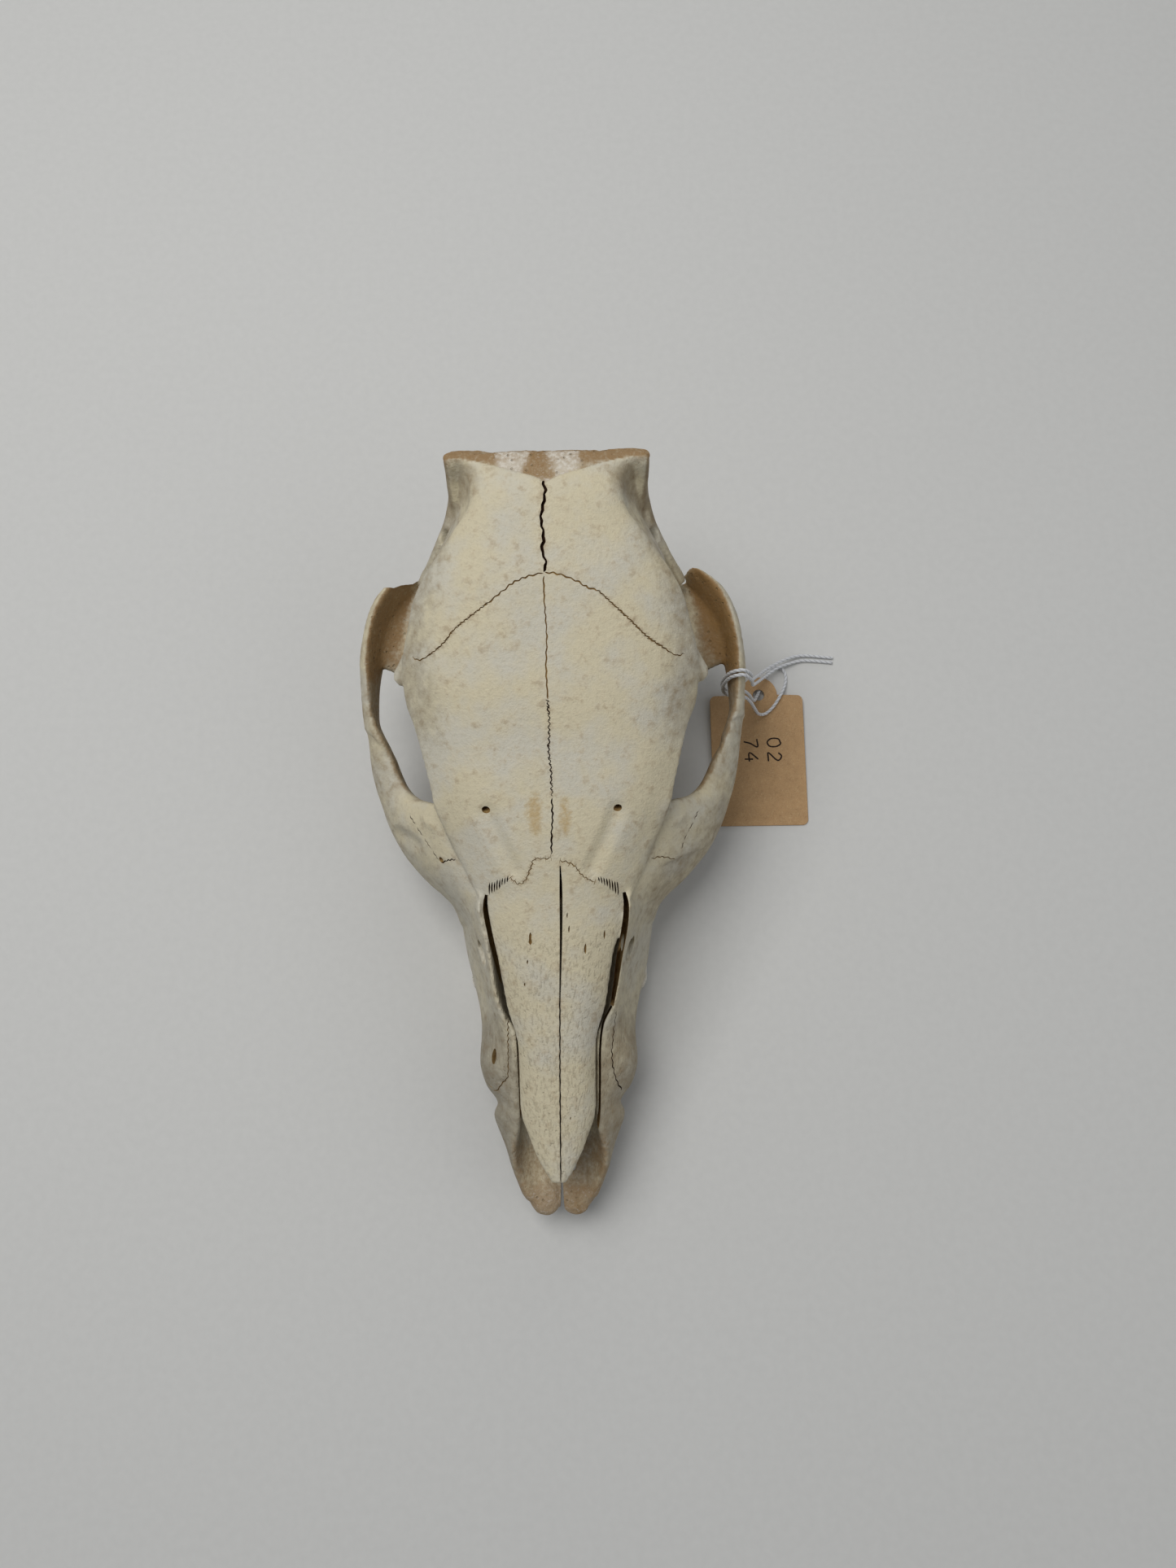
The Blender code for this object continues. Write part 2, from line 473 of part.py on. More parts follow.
def limb_rings(stations, along=4, corners=14, side=1, grow=0.0):
    """Elliptical rings square to a smooth path."""
    rows = smooth_rows(stations, along)
    rows[:, 0] *= side
    rings = []
    for index, row in enumerate(rows):
        before, after = rows[max(index - 1, 0)], rows[min(index + 1, len(rows) - 1)]
        ahead = Vector(after[:3] - before[:3]).normalized()
        level = ahead.cross(Vector((0, 0, 1)))
        if level.length < 0.35:
            level = ahead.cross(Vector((0, 1, 0)))
        level.normalize()
        upright = level.cross(ahead)
        ring = []
        for corner in range(corners):
            angle = 2 * math.pi * corner / corners
            across = level * (math.cos(angle) * (row[3] + grow))
            ring.append(Vector(row[:3]) + across + upright * (math.sin(angle) * (row[4] + grow)))
        rings.append(ring)
    return rings


def add_ball(mesh, centre, half_axes, turn=0.0, side=1):
    """An ellipsoid, turned about Z in degrees."""
    place = Matrix.Translation(Vector((side * centre[0], centre[1], centre[2])) * MM)
    turned = Matrix.Rotation(math.radians(side * turn), 4, "Z")
    size = Matrix.Diagonal((*(Vector(half_axes) * MM), 1))
    bmesh.ops.create_uvsphere(mesh, u_segments=20, v_segments=12, radius=1, matrix=place @ turned @ size)


def plain_material(name, colour, roughness):
    material = bpy.data.materials.new(name)
    material.use_nodes = True
    shader = material.node_tree.nodes["Principled BSDF"]
    shader.inputs["Base Color"].default_value = (*colour, 1)
    shader.inputs["Roughness"].default_value = roughness
    shader.inputs["Metallic"].default_value = 0
    material.diffuse_color = (*colour, 1)
    return material


def finish_object(name, mesh, material=None):
    """Turns a bmesh into a named object whose faces point out."""
    bmesh.ops.recalc_face_normals(mesh, faces=mesh.faces)
    data = bpy.data.meshes.new(name)
    mesh.to_mesh(data)
    mesh.free()
    thing = bpy.data.objects.new(name, data)
    bpy.context.scene.collection.objects.link(thing)
    if material:
        data.materials.append(material)
    else:
        thing.hide_render = True
        thing.display_type = "WIRE"
    return thing


def cut(thing, cutter, name):
    boolean = thing.modifiers.new(name, "BOOLEAN")
    boolean.operation = "DIFFERENCE"
    boolean.object = cutter


def fuse(thing, voxel, smoothing):
    """Melts overlapping shells into one and rounds where they meet."""
    remesh = thing.modifiers.new("fuse", "REMESH")
    remesh.mode = "VOXEL"
    remesh.voxel_size = voxel * MM
    soften = thing.modifiers.new("soften", "SMOOTH")
    soften.factor = 0.5
    soften.iterations = smoothing


def bone_shells():
    """Every overlapping shell of the cranium, in one mesh."""
    mesh = bmesh.new()
    skin(mesh, section_rings(VAULT, 3, 3))
    skin(mesh, section_rings(SNOUT, 3, 2))
    skin(mesh, section_rings(NASALS, 3, 3))
    for limb in (BASE_BAR, VOMER, PALATE_REAR):
        skin(mesh, limb_rings(limb))
    paired = (
        SQUAMOSAL_SHELF, TEMPORAL_CREST, CREST_WING, WING_EDGE, BROW_KNOB, LACRIMAL,
        JUGULAR_PROCESS, BULLA, CONDYLE, PTERYGOID, HAMULUS, PARIETAL_BASE,
    )
    for side in (1, -1):
        skin(mesh, section_rings(CHEEK_ARCH, 3, 3, mirrored=False, side=side))
        for limb in paired:
            skin(mesh, limb_rings(limb, side=side))
        add_ball(mesh, *INCISIVE_LOBE, side=side)
    return mesh


def hollow_cutter():
    """The brain cavity, the larger foramina and the empty sockets, as shells to take away."""
    mesh = bmesh.new()
    skin(mesh, limb_rings(FORAMEN_MAGNUM, corners=20))
    for side in (1, -1):
        for limb in (INFRAORBITAL, BROW_GROOVE, EAR_CANAL, CANINE_SOCKET):
            skin(mesh, limb_rings(limb, side=side, corners=12))
        add_ball(mesh, *OCCIPUT_HOLLOW, side=side)
        add_ball(mesh, *LACRIMAL_HOLLOW, side=side)
        add_ball(mesh, *PALATINE_FISSURE, side=side)
        for socket in INCISOR_SOCKETS:
            add_ball(mesh, *socket, side=side)
    return finish_object("hollow_cutter", mesh)


def seam_cutters():
    """The crisp slots, seams and small foramina, one cutter each."""
    seams = {
        "right_slot": (SLOT_RIGHT, 1), "left_slot": (SLOT_LEFT, 1), "nasal_seam": (NASAL_SEAM, 1),
        "right_slot_front": (SLOT_FRONT_RIGHT, 1), "left_slot_front": (SLOT_FRONT_LEFT, 1),
        "tip_slit": (TIP_SLIT, 1), "sagittal_seam": (SAGITTAL_SEAM, 1), "parietal_edge": (PARIETAL_EDGE, 1),
        "canine_window": (CANINE_WINDOW, 1), "right_brow_foramen": (SUPRAORBITAL, 1),
        "left_brow_foramen": (SUPRAORBITAL, -1),
    }
    made = []
    for name, (stations, side) in seams.items():
        mesh = bmesh.new()
        skin(mesh, limb_rings(stations, along=2, corners=8, side=side))
        made.append(finish_object(name, mesh))
    return made


def break_cutter():
    """The piece missing behind the left squamosal shelf, as an upright prism."""
    mesh = bmesh.new()
    skin(mesh, [[(x, y + shift, z) for x, y in LEFT_BREAK] for z, shift in LEFT_BREAK_SHIFTS])
    return finish_object("break_cutter", mesh)


def floor_cutter():
    """Everything below the surface that the skull stands on."""
    mesh = bmesh.new()
    place = Matrix.Translation(Vector((0, 0, -20)) * MM) @ Matrix.Diagonal((0.16, 0.24, 0.04, 1))
    bmesh.ops.create_cube(mesh, size=1, matrix=place)
    return finish_object("floor_cutter", mesh)


def tooth_rings(x, y, half_width, half_length, side, grow=0.0, corners=10):
    rings = []
    for z, share in TOOTH_OUTLINE:
        ring = []
        for corner in range(corners):
            angle = 2 * math.pi * corner / corners
            bulge = 1 + 0.1 * abs(math.sin(2 * angle))
            ring.append((
                side * x + bulge * math.cos(angle) * (half_width * share + grow),
                y + bulge * math.sin(angle) * (half_length * share + grow),
                z + (grow if z == TOOTH_OUTLINE[-1][0] else 0) - (grow if z == 0 else 0),
            ))
        rings.append(ring)
    return rings


def make_teeth(enamel):
    """The cheek teeth, and one cutter for all their sockets."""
    sockets = bmesh.new()
    for side, word in ((1, "right"), (-1, "left")):
        for name, *size in CHEEK_TEETH:
            mesh = bmesh.new()
            skin(mesh, tooth_rings(*size, side))
            tooth = finish_object(f"{name}_{word}", mesh, enamel)
            tooth.data.shade_smooth()
            skin(sockets, tooth_rings(*size, side, grow=SOCKET_GAP))
    return finish_object("socket_cutter", sockets)


def make_cranium(bone, sockets):
    cranium = finish_object("cranium", bone_shells(), bone)
    fuse(cranium, FUSE_VOXEL, 0)
    cut(cranium, hollow_cutter(), "hollows")
    fuse(cranium, FUSE_VOXEL, 4)
    reduce = cranium.modifiers.new("facets", "DECIMATE")
    reduce.ratio = FACET_SHARE
    for cutter in (*seam_cutters(), break_cutter(), sockets, floor_cutter()):
        cut(cranium, cutter, cutter.name)
    return cranium


def make_tag(card):
    """A card with round corners and a round tab, which leans up from its foot to the tab."""
    half_tab = math.asin(0.1 / TAG_TAB_RADIUS)
    arcs = [
        ((TAG_LEFT, TAG_FOOT), (1, 1), TAG_CORNER_RADIUS, 180, 270),
        ((TAG_RIGHT, TAG_FOOT), (-1, 1), TAG_CORNER_RADIUS, 270, 360),
        ((TAG_RIGHT, TAG_HEAD), (-1, -1), TAG_CORNER_RADIUS, 0, 90),
        (TAG_TAB_CENTRE, (0, 0), TAG_TAB_RADIUS, math.degrees(half_tab), 180 - math.degrees(half_tab)),
        ((TAG_LEFT, TAG_HEAD), (1, -1), TAG_CORNER_RADIUS, 90, 180),
    ]
    outline = []
    for (x, y), (right, up), radius, start, end in arcs:
        steps = 5 if radius == TAG_CORNER_RADIUS else 15
        for angle in np.radians(np.linspace(start, end, steps)):
            outline.append((x + radius * (right + math.cos(angle)), y + radius * (up + math.sin(angle))))
    mesh = bmesh.new()
    skin(mesh, [[(x, y, z) for x, y in outline] for z in (0, TAG_THICKNESS)])
    foot = Vector((0, TAG_FOOT, 0)) * MM
    bmesh.ops.rotate(mesh, verts=mesh.verts, cent=foot, matrix=Matrix.Rotation(TAG_LIFT, 3, "X"))
    tag = finish_object("tag", mesh, card)
    mesh = bmesh.new()
    place = Matrix.Translation(Vector((*TAG_TAB_CENTRE, 1)) * MM)
    radius = TAG_HOLE_RADIUS * MM
    bmesh.ops.create_cone(
        mesh, cap_ends=True, segments=20, radius1=radius, radius2=radius, depth=6 * MM, matrix=place
    )
    cut(tag, finish_object("tag_hole_cutter", mesh), "hole")
    return tag


def make_string(cotton):
    rows = smooth_rows(STRING_ROUTE, 12)
    travelled = np.concatenate([[0], np.cumsum(np.linalg.norm(np.diff(rows, axis=0), axis=1))])
    stops = np.linspace(0, travelled[-1], STRING_POINTS)
    curve = bpy.data.curves.new("string", "CURVE")
    curve.dimensions = "3D"
    curve.bevel_depth = STRING_DIAMETER / 2 * MM
    curve.bevel_resolution = 2
    curve.use_fill_caps = True
    spline = curve.splines.new("POLY")
    spline.points.add(STRING_POINTS - 1)
    for point, stop in zip(spline.points, stops):
        place = [np.interp(stop, travelled, rows[:, axis]) for axis in range(3)]
        point.co = (*(Vector(place) * MM), 1)
    curve.materials.append(cotton)
    string = bpy.data.objects.new("string", curve)
    bpy.context.scene.collection.objects.link(string)
    return string


def main():
    for thing in list(bpy.data.objects):
        bpy.data.objects.remove(thing)
    sockets = make_teeth(plain_material("enamel", (0.75, 0.72, 0.64), 0.3))
    make_cranium(plain_material("bone", (0.62, 0.57, 0.46), 0.62), sockets)
    make_tag(plain_material("kraft card", (0.33, 0.2, 0.09), 0.85))
    make_string(plain_material("cotton", (0.75, 0.75, 0.72), 0.9))


main()
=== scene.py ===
"""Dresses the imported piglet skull, its card tag and its string, and sets the stage round them.

Stations are in millimetres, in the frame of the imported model: the snout points along -Y, the nuchal
crest along +Y, and the skull stands on z = 0.
"""

import math

import bmesh
import bpy
import numpy as np
from bpy.props import FloatProperty, FloatVectorProperty, IntProperty, PointerProperty, StringProperty
from mathutils import Matrix, Vector, noise
from mathutils.bvhtree import BVHTree


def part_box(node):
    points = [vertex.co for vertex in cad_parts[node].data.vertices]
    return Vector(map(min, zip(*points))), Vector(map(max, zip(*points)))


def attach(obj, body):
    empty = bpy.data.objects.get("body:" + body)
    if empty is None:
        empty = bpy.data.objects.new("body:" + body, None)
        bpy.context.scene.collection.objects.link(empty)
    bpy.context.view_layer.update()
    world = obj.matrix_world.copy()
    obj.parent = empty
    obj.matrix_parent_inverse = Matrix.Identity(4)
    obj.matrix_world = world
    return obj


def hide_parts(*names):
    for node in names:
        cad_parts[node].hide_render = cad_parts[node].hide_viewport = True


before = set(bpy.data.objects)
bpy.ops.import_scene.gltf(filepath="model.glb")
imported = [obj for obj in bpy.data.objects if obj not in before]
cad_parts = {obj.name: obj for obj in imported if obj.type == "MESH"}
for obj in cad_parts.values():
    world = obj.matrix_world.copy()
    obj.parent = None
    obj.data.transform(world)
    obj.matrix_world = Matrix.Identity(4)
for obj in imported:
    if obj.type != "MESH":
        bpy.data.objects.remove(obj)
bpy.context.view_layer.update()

bl_info = {
    "name": "Piglet skull",
    "version": (1, 0, 0),
    "blender": (4, 5, 0),
    "location": "View3D > Sidebar > Skull",
    "description": "Bone, teeth, card tag and string of a piglet skull, with its stage",
    "category": "Object",
}

MM = 0.001
BODY = "root"

# Half sections of the brain case and the frontal roof. Each station is y, then (x, z) from the
# midline of the roof over the temporal line and down the wall to the midline of the base.
VAULT = [
    (98.2, [
        (0, 86.4), (9, 86.6), (17, 86.2), (22, 85.3), (24.2, 84),
        (24.4, 82.6), (23, 81.4), (17, 80.8), (9, 80.6), (0, 80.6),
    ]),
    (96.5, [
        (0, 87.4), (9, 87.4), (17, 86.8), (22, 85.6), (24.6, 83.6),
        (25, 80.6), (23.5, 77.2), (18, 75), (9, 74.6), (0, 74.6),
    ]),
    (92.5, [
        (0, 88.4), (9, 88), (16, 87), (19.8, 84.8), (21.6, 81),
        (23.6, 76), (25, 70), (22, 64), (12, 60.5), (0, 60),
    ]),
    (88, [
        (0, 89), (9, 88.6), (16, 87.4), (19.4, 84.8), (20.8, 80),
        (23.8, 73), (26.4, 64), (25, 54), (15, 48), (0, 47),
    ]),
    (83, [
        (0, 88.6), (9.5, 88.2), (16.6, 87), (20.2, 84.2), (21.8, 79),
        (26, 71), (29, 62), (27.5, 50), (16, 38), (0, 34),
    ]),
    (75, [
        (0, 87), (11.5, 86.4), (20.6, 84.6), (26, 81.2), (28, 76.5),
        (30.5, 69), (32, 60), (28, 49), (15, 37), (0, 33),
    ]),
    (65, [
        (0, 84.8), (14, 84.2), (25.5, 81.4), (33, 76.2), (34.8, 71.5),
        (33.5, 63), (30, 55), (25, 46), (13, 37), (0, 33),
    ]),
    (56, [
        (0, 82.2), (15, 81.6), (28, 78.4), (36, 72.4), (37.4, 67.5),
        (34, 60), (28.5, 52), (22.5, 45), (12, 38), (0, 35),
    ]),
    (48, [
        (0, 79.8), (15.5, 79.2), (29, 75.8), (37.6, 69), (39, 64.5),
        (33.5, 58.5), (25, 51.5), (19, 45), (10.5, 39), (0, 37),
    ]),
    (38, [
        (0, 76.8), (15, 76.2), (28, 73), (37, 65), (38.4, 60.4),
        (30, 57.5), (20, 53), (14.5, 46), (9, 40), (0, 38),
    ]),
    (31, [
        (0, 74.4), (14.5, 73.8), (26.5, 70.6), (34.6, 64.4), (36, 60.8),
        (28, 58.5), (17, 53), (12.5, 45), (8, 38), (0, 36),
    ]),
    (23, [
        (0, 71.4), (14, 70.8), (25, 68), (32.4, 63), (34, 60),
        (26, 58), (16, 52), (12, 44), (8, 34), (0, 31),
    ]),
    (16, [
        (0, 69.2), (13.5, 68.6), (23.5, 66), (30.8, 61), (32.4, 58),
        (25, 56), (16, 50), (12.5, 41), (9, 30), (0, 27),
    ]),
    (10, [
        (0, 67.2), (13, 66.6), (22.4, 64), (29.4, 59), (31.2, 55.6),
        (26, 52), (18, 47), (14, 38), (10, 27), (0, 24),
    ]),
    (3, [
        (0, 65), (12, 64.2), (20.4, 61.6), (26.4, 56.4), (28.2, 52),
        (26.5, 46), (21.5, 40), (17, 32), (12, 22), (0, 19),
    ]),
    (-4, [
        (0, 62.4), (10.5, 61.6), (17.6, 59), (23, 54.6), (25, 50),
        (25, 44), (23, 37), (18.5, 29), (12, 20), (0, 16),
    ]),
    (-10, [
        (0, 59.8), (9, 59), (15.5, 56.8), (20.2, 53.2), (22, 49),
        (23, 42), (22.5, 34), (18, 26), (11, 18), (0, 15),
    ]),
    (-13.5, [
        (0, 58), (8, 57.2), (14, 55), (18.2, 52), (19.8, 48),
        (20, 41), (19, 33), (15, 25), (9, 17), (0, 15),
    ]),
]

# Half sections of the snout, a trough that is open on top. Each station is y, then (x, z) from the
# midline of the palate round the tooth row, up the cheek to the rim, and down the inner wall.
SNOUT = [
    (8, [
        (0, 13), (9, 12.8), (14.5, 9.8), (19.5, 9.2), (22.5, 15), (20.5, 24),
        (17, 30), (14, 30), (11, 24), (8, 18), (0, 17),
    ]),
    (0, [
        (0, 12.6), (11, 12.2), (17, 7.8), (23.5, 7.8), (27.6, 17), (27, 30),
        (23, 42), (18, 42), (15, 30), (10, 18), (0, 16.6),
    ]),
    (-10, [
        (0, 12.5), (11, 12), (16.6, 6.4), (24.8, 6.4), (28.4, 18), (25.6, 37),
        (21, 50), (18.6, 50), (16.4, 38), (11, 18), (0, 16.5),
    ]),
    (-16, [
        (0, 12.3), (11, 12), (16.4, 6.2), (25.2, 6.4), (28, 18), (24.8, 36),
        (20.8, 51.6), (19.2, 51.6), (16.8, 37), (11, 18), (0, 16.3),
    ]),
    (-21, [
        (0, 12.2), (11, 12), (16.2, 6.2), (25.2, 6.4), (27.4, 17.5), (23.8, 34),
        (20, 49), (18.4, 49), (16, 35), (11, 18), (0, 16),
    ]),
    (-28, [
        (0, 12), (10.5, 12), (16, 6.2), (25, 6.6), (26, 17), (22.3, 31),
        (18.6, 45.4), (17, 45.4), (14.8, 32), (10.5, 17.5), (0, 16),
    ]),
    (-37, [
        (0, 12), (10, 12), (15.4, 6.4), (22.8, 6.8), (23.8, 16.5), (20.6, 28),
        (17.4, 41.4), (15.8, 41.4), (13.8, 29), (10, 17), (0, 15.5),
    ]),
    (-43, [
        (0, 12), (9.5, 12), (14.8, 6.8), (21.2, 7.2), (22.6, 17), (19.8, 27),
        (16, 38.4), (14.2, 38.4), (12.8, 27), (9.5, 17), (0, 15.5),
    ]),
    (-49, [
        (0, 12), (9, 12), (14, 7.6), (19.8, 8.2), (22.1, 18), (19.7, 27.5),
        (13.2, 37), (10.8, 37), (11, 26), (9, 17), (0, 15),
    ]),
    (-57, [
        (0, 12), (8.5, 12), (13, 9.4), (18.2, 11.2), (22.3, 20), (19.8, 28.2),
        (12.6, 34.4), (10.6, 34.4), (10.7, 25), (8.8, 17), (0, 15),
    ]),
    (-63, [
        (0, 12), (8, 12), (12.5, 10.8), (16.5, 14), (20.6, 20.5), (17.6, 27),
        (12.4, 32), (10.4, 32), (10.6, 24), (8.6, 16.5), (0, 14.5),
    ]),
    (-67.5, [
        (0, 12), (7.6, 12), (12, 11), (14.8, 13.5), (17.4, 19.5), (16, 25),
        (12.3, 30.4), (10.3, 30.4), (10.6, 23.5), (8.4, 16), (0, 14.3),
    ]),
    (-71, [
        (0, 12), (7.4, 12), (11.6, 10.8), (14.8, 12.5), (18.6, 18.5), (16.6, 23.6),
        (12.2, 29), (10.3, 29), (10.6, 23), (8.2, 16), (0, 14),
    ]),
    (-76, [
        (0, 12), (7, 12), (11, 10.5), (14, 12), (17, 17), (15.6, 21.3),
        (12.6, 26.3), (10.9, 26.3), (10.6, 21.5), (8, 15.8), (0, 14),
    ]),
    (-80.5, [
        (0, 11.8), (6.6, 11.8), (10.4, 10.4), (13, 12), (15.3, 16), (14.8, 19.6),
        (13.6, 23.4), (12.1, 23.6), (10.8, 19.8), (7.8, 15.4), (0, 13.8),
    ]),
    (-85.5, [
        (0, 11.5), (6, 11.5), (9.6, 10.2), (12, 11.6), (13.8, 15), (13.7, 18),
        (13.2, 20.4), (12.2, 20.6), (10.2, 17.6), (7, 14.6), (0, 13.4),
    ]),
    (-90, [
        (0, 11), (5.4, 11), (8.6, 9.8), (10.8, 11), (12.2, 13.6), (12.1, 15.8),
        (11.4, 17.6), (10.4, 17.8), (8.6, 16.2), (5.6, 14.2), (0, 13.2),
    ]),
    (-94, [
        (0, 10.6), (4.6, 10.4), (7.4, 9.6), (9.4, 10.6), (10.5, 12.8), (10.3, 14.6),
        (9.4, 15.8), (8.2, 16), (6.4, 15.2), (4, 14.4), (0, 13.8),
    ]),
    (-96.6, [
        (0, 10.8), (3.4, 10.4), (5.2, 10.2), (6.6, 10.8), (7.4, 12.2), (7.2, 13.4),
        (6.6, 14.3), (5.6, 14.5), (4.3, 14.4), (2.4, 14), (0, 13.4),
    ]),
]

# Half sections of the two nasal bones, a thin arched plate from the frontals to the pointed tip.
NASALS = [
    (3, [(0, 63), (8, 62), (13, 59), (12.5, 57), (7, 58.5), (0, 60)]),
    (-6, [(0, 61.3), (9, 60.2), (14.5, 57), (14, 55), (8, 57.6), (0, 58.8)]),
    (-12, [(0, 59), (9.6, 57.8), (17.2, 53.8), (16.7, 51.8), (9.2, 55.2), (0, 56.4)]),
    (-17, [(0, 57), (9.8, 55.8), (17.4, 51.8), (16.9, 49.8), (9.4, 53.2), (0, 54.4)]),
    (-23, [(0, 55), (9.4, 53.8), (16.5, 49.8), (16, 47.8), (9, 51.2), (0, 52.4)]),
    (-29, [(0, 53), (8.8, 51.8), (15, 47.9), (14.5, 45.9), (8.4, 49.2), (0, 50.4)]),
    (-36, [(0, 50.6), (8.2, 49.5), (13.9, 45.4), (13.4, 43.4), (7.8, 46.9), (0, 48)]),
    (-43, [(0, 48), (7.6, 46.9), (12.6, 42.6), (12.1, 40.6), (7.2, 44.2), (0, 45.4)]),
    (-50, [(0, 45.6), (6.8, 44.6), (10.6, 40.6), (10.1, 38.6), (6.4, 42), (0, 43)]),
    (-57, [(0, 43.2), (6.5, 42.2), (10.2, 38), (9.7, 36), (6.1, 39.6), (0, 40.6)]),
    (-64, [(0, 40.8), (6.4, 39.8), (10.1, 35.8), (9.6, 33.8), (6, 37.2), (0, 38.2)]),
    (-70.5, [(0, 38.6), (6.2, 37.7), (9.8, 34.2), (9.3, 32.2), (5.8, 35.1), (0, 36)]),
    (-75.5, [(0, 37), (5.2, 36.2), (8.1, 33.7), (7.7, 31.7), (5, 33.6), (0, 34.3)]),
    (-80.5, [(0, 35.5), (3.9, 34.9), (6.2, 33.3), (5.9, 31.5), (3.8, 32.4), (0, 32.9)]),
    (-85.5, [(0, 34.1), (2.4, 33.7), (3.8, 32.7), (3.6, 31.3), (2.4, 31.4), (0, 31.6)]),
    (-88.6, [(0, 33), (1, 32.8), (1.7, 32.4), (1.6, 31.4), (1, 31.2), (0, 31.2)]),
]

# Whole sections of the right cheek arch. Each station is y, then (x, z) from its upper rim down the
# outer face, and up the inner face again.
CHEEK_ARCH = [
    (-18, [
        (20, 46), (23, 40), (25.5, 33), (27.8, 24), (26.5, 16),
        (22, 13), (17, 18), (15, 28), (16, 38), (17.5, 44),
    ]),
    (-12, [
        (21, 49.5), (25, 44), (28.6, 36), (30.3, 26), (29.6, 18),
        (25, 13.5), (18, 18), (15, 28), (16, 38), (18, 46),
    ]),
    (-5, [
        (24, 50.5), (29, 45.5), (34, 38), (37.4, 29), (37.2, 20.5),
        (33, 15), (24, 17), (18, 28), (18, 38), (21, 47),
    ]),
    (2, [
        (27, 51.5), (33, 46.5), (39.4, 38.5), (43.4, 29), (43.2, 20.5),
        (39, 15.5), (29, 17.5), (22, 28), (22, 39), (25, 48),
    ]),
    (8, [
        (29.5, 52.5), (35.5, 47.5), (42.4, 39.5), (46.9, 29.5), (46.7, 21.5),
        (43, 16), (35, 18.5), (28, 27), (26, 38), (28, 48),
    ]),
    (12, [
        (31.5, 51.5), (37, 46.5), (44, 39), (48.8, 29.5), (48.5, 21.8),
        (45.4, 16.3), (38.5, 19.5), (34, 27), (31.5, 38), (30.5, 47),
    ]),
    (16, [
        (38.6, 42), (42, 41.5), (47, 37), (50.2, 29.8), (49.9, 22.2),
        (47, 17), (42, 20), (38.6, 27), (37.5, 34), (37.6, 39),
    ]),
    (20, [
        (42.4, 40), (45.4, 39.5), (49.2, 36), (51.6, 30.2), (51.3, 23),
        (49, 17.6), (45.4, 20.8), (42.8, 27.5), (41.6, 33), (41.6, 37.5),
    ]),
    (26, [
        (45.6, 40.6), (48.4, 40), (51.4, 36.4), (53, 31), (52.7, 24.4),
        (50.8, 19), (48, 22.4), (45.6, 28.6), (44.6, 33.5), (44.7, 38),
    ]),
    (33, [
        (48.8, 43), (51, 41.6), (53, 38), (53.9, 33), (53.7, 26.6),
        (52, 21), (49.8, 24.8), (48.2, 31), (47.8, 36), (47.9, 40.5),
    ]),
    (40, [
        (51.4, 44.8), (53, 43.4), (54.2, 40.4), (54.8, 36), (54.6, 30),
        (53.4, 25), (51.8, 28), (50.8, 33), (50.4, 37.5), (50.6, 42),
    ]),
    (48, [
        (52, 47.6), (53.5, 46.4), (54.6, 43.4), (55, 39), (54.7, 34),
        (53.4, 30), (51.6, 32), (50.5, 36), (50.3, 40.5), (50.8, 45),
    ]),
    (56, [
        (51.8, 50.6), (53.5, 49.4), (54.5, 46), (54.7, 42), (54.3, 37),
        (53, 33.4), (50.6, 35), (49.2, 38), (49.2, 42.5), (50.4, 47.6),
    ]),
    (65, [
        (49.8, 53), (51.6, 52), (52.8, 48.4), (52.9, 44), (52.4, 38.4),
        (50.5, 35), (47.8, 36.2), (46.2, 38.6), (46.8, 43), (48.4, 49.6),
    ]),
    (71, [
        (47.4, 53.6), (49.3, 52.6), (50.6, 49), (50.8, 44.6), (50.2, 39.4),
        (48.1, 36.2), (45.2, 37.6), (43.4, 40), (44.2, 44), (45.9, 50.4),
    ]),
    (75.2, [
        (44.9, 53.2), (46.6, 52.2), (47.6, 49), (47.7, 45), (47, 40.8),
        (45.1, 38.2), (42.6, 39), (41.2, 41), (41.9, 44.8), (43.5, 50.3),
    ]),
    (78.4, [
        (42, 52), (43.3, 51.2), (44.1, 48.4), (44.1, 45.2), (43.5, 42.2),
        (42, 40.6), (40.1, 41), (39.1, 42.4), (39.5, 45), (40.8, 49.4),
    ]),
    (80.4, [
        (39.8, 50.4), (40.7, 49.8), (41.2, 47.8), (41.2, 45.7), (40.8, 43.8),
        (39.8, 42.8), (38.5, 43), (37.8, 43.9), (38, 45.6), (38.9, 48.6),
    ]),
]

# Limbs on the right side, mirrored to the left. Each station is x, y, z, half width, half depth:
# the width lies level across the path, and the depth is square to both.
SQUAMOSAL_SHELF = [
    (20, 66, 52, 12.6, 5), (29, 65.6, 47, 13.4, 4.2), (35, 65.2, 42.6, 13.6, 3.2),
    (40.6, 65.4, 40.2, 13.6, 2.8), (45.4, 66, 40.8, 12.6, 2.8), (48.8, 66.8, 43.4, 11, 2.6),
    (50.4, 67.4, 46, 9, 2),
]
TEMPORAL_CREST = [
    (36, 77, 47, 2.4, 3.4), (32, 82, 53, 2, 4), (27.6, 88, 60, 2, 5), (25.6, 93.5, 66, 1.8, 5.4),
    (25.2, 96.4, 72, 1.7, 4.4),
]
CREST_WING = [
    (14, 96.6, 83.5, 2.4, 2.4), (20, 97, 84.2, 2.2, 2.2),
    (24.6, 97.2, 84.2, 1.9, 2), (26.6, 96.8, 83.6, 1.2, 1.6),
]
WING_EDGE = [
    (25, 96.2, 84, 1.9, 1.6), (24.8, 95, 78, 2, 2.4), (24.6, 92, 70, 2.2, 3.2), (24, 89, 60, 2.6, 4),
    (22.6, 85.6, 50, 3.4, 5),
]
BROW_KNOB = [
    (30, 48, 66, 8, 3.4), (35.6, 47, 64, 6.4, 3.2), (38.6, 46, 62.2, 4.2, 2.7), (41.4, 45, 60.4, 2, 1.8),
]
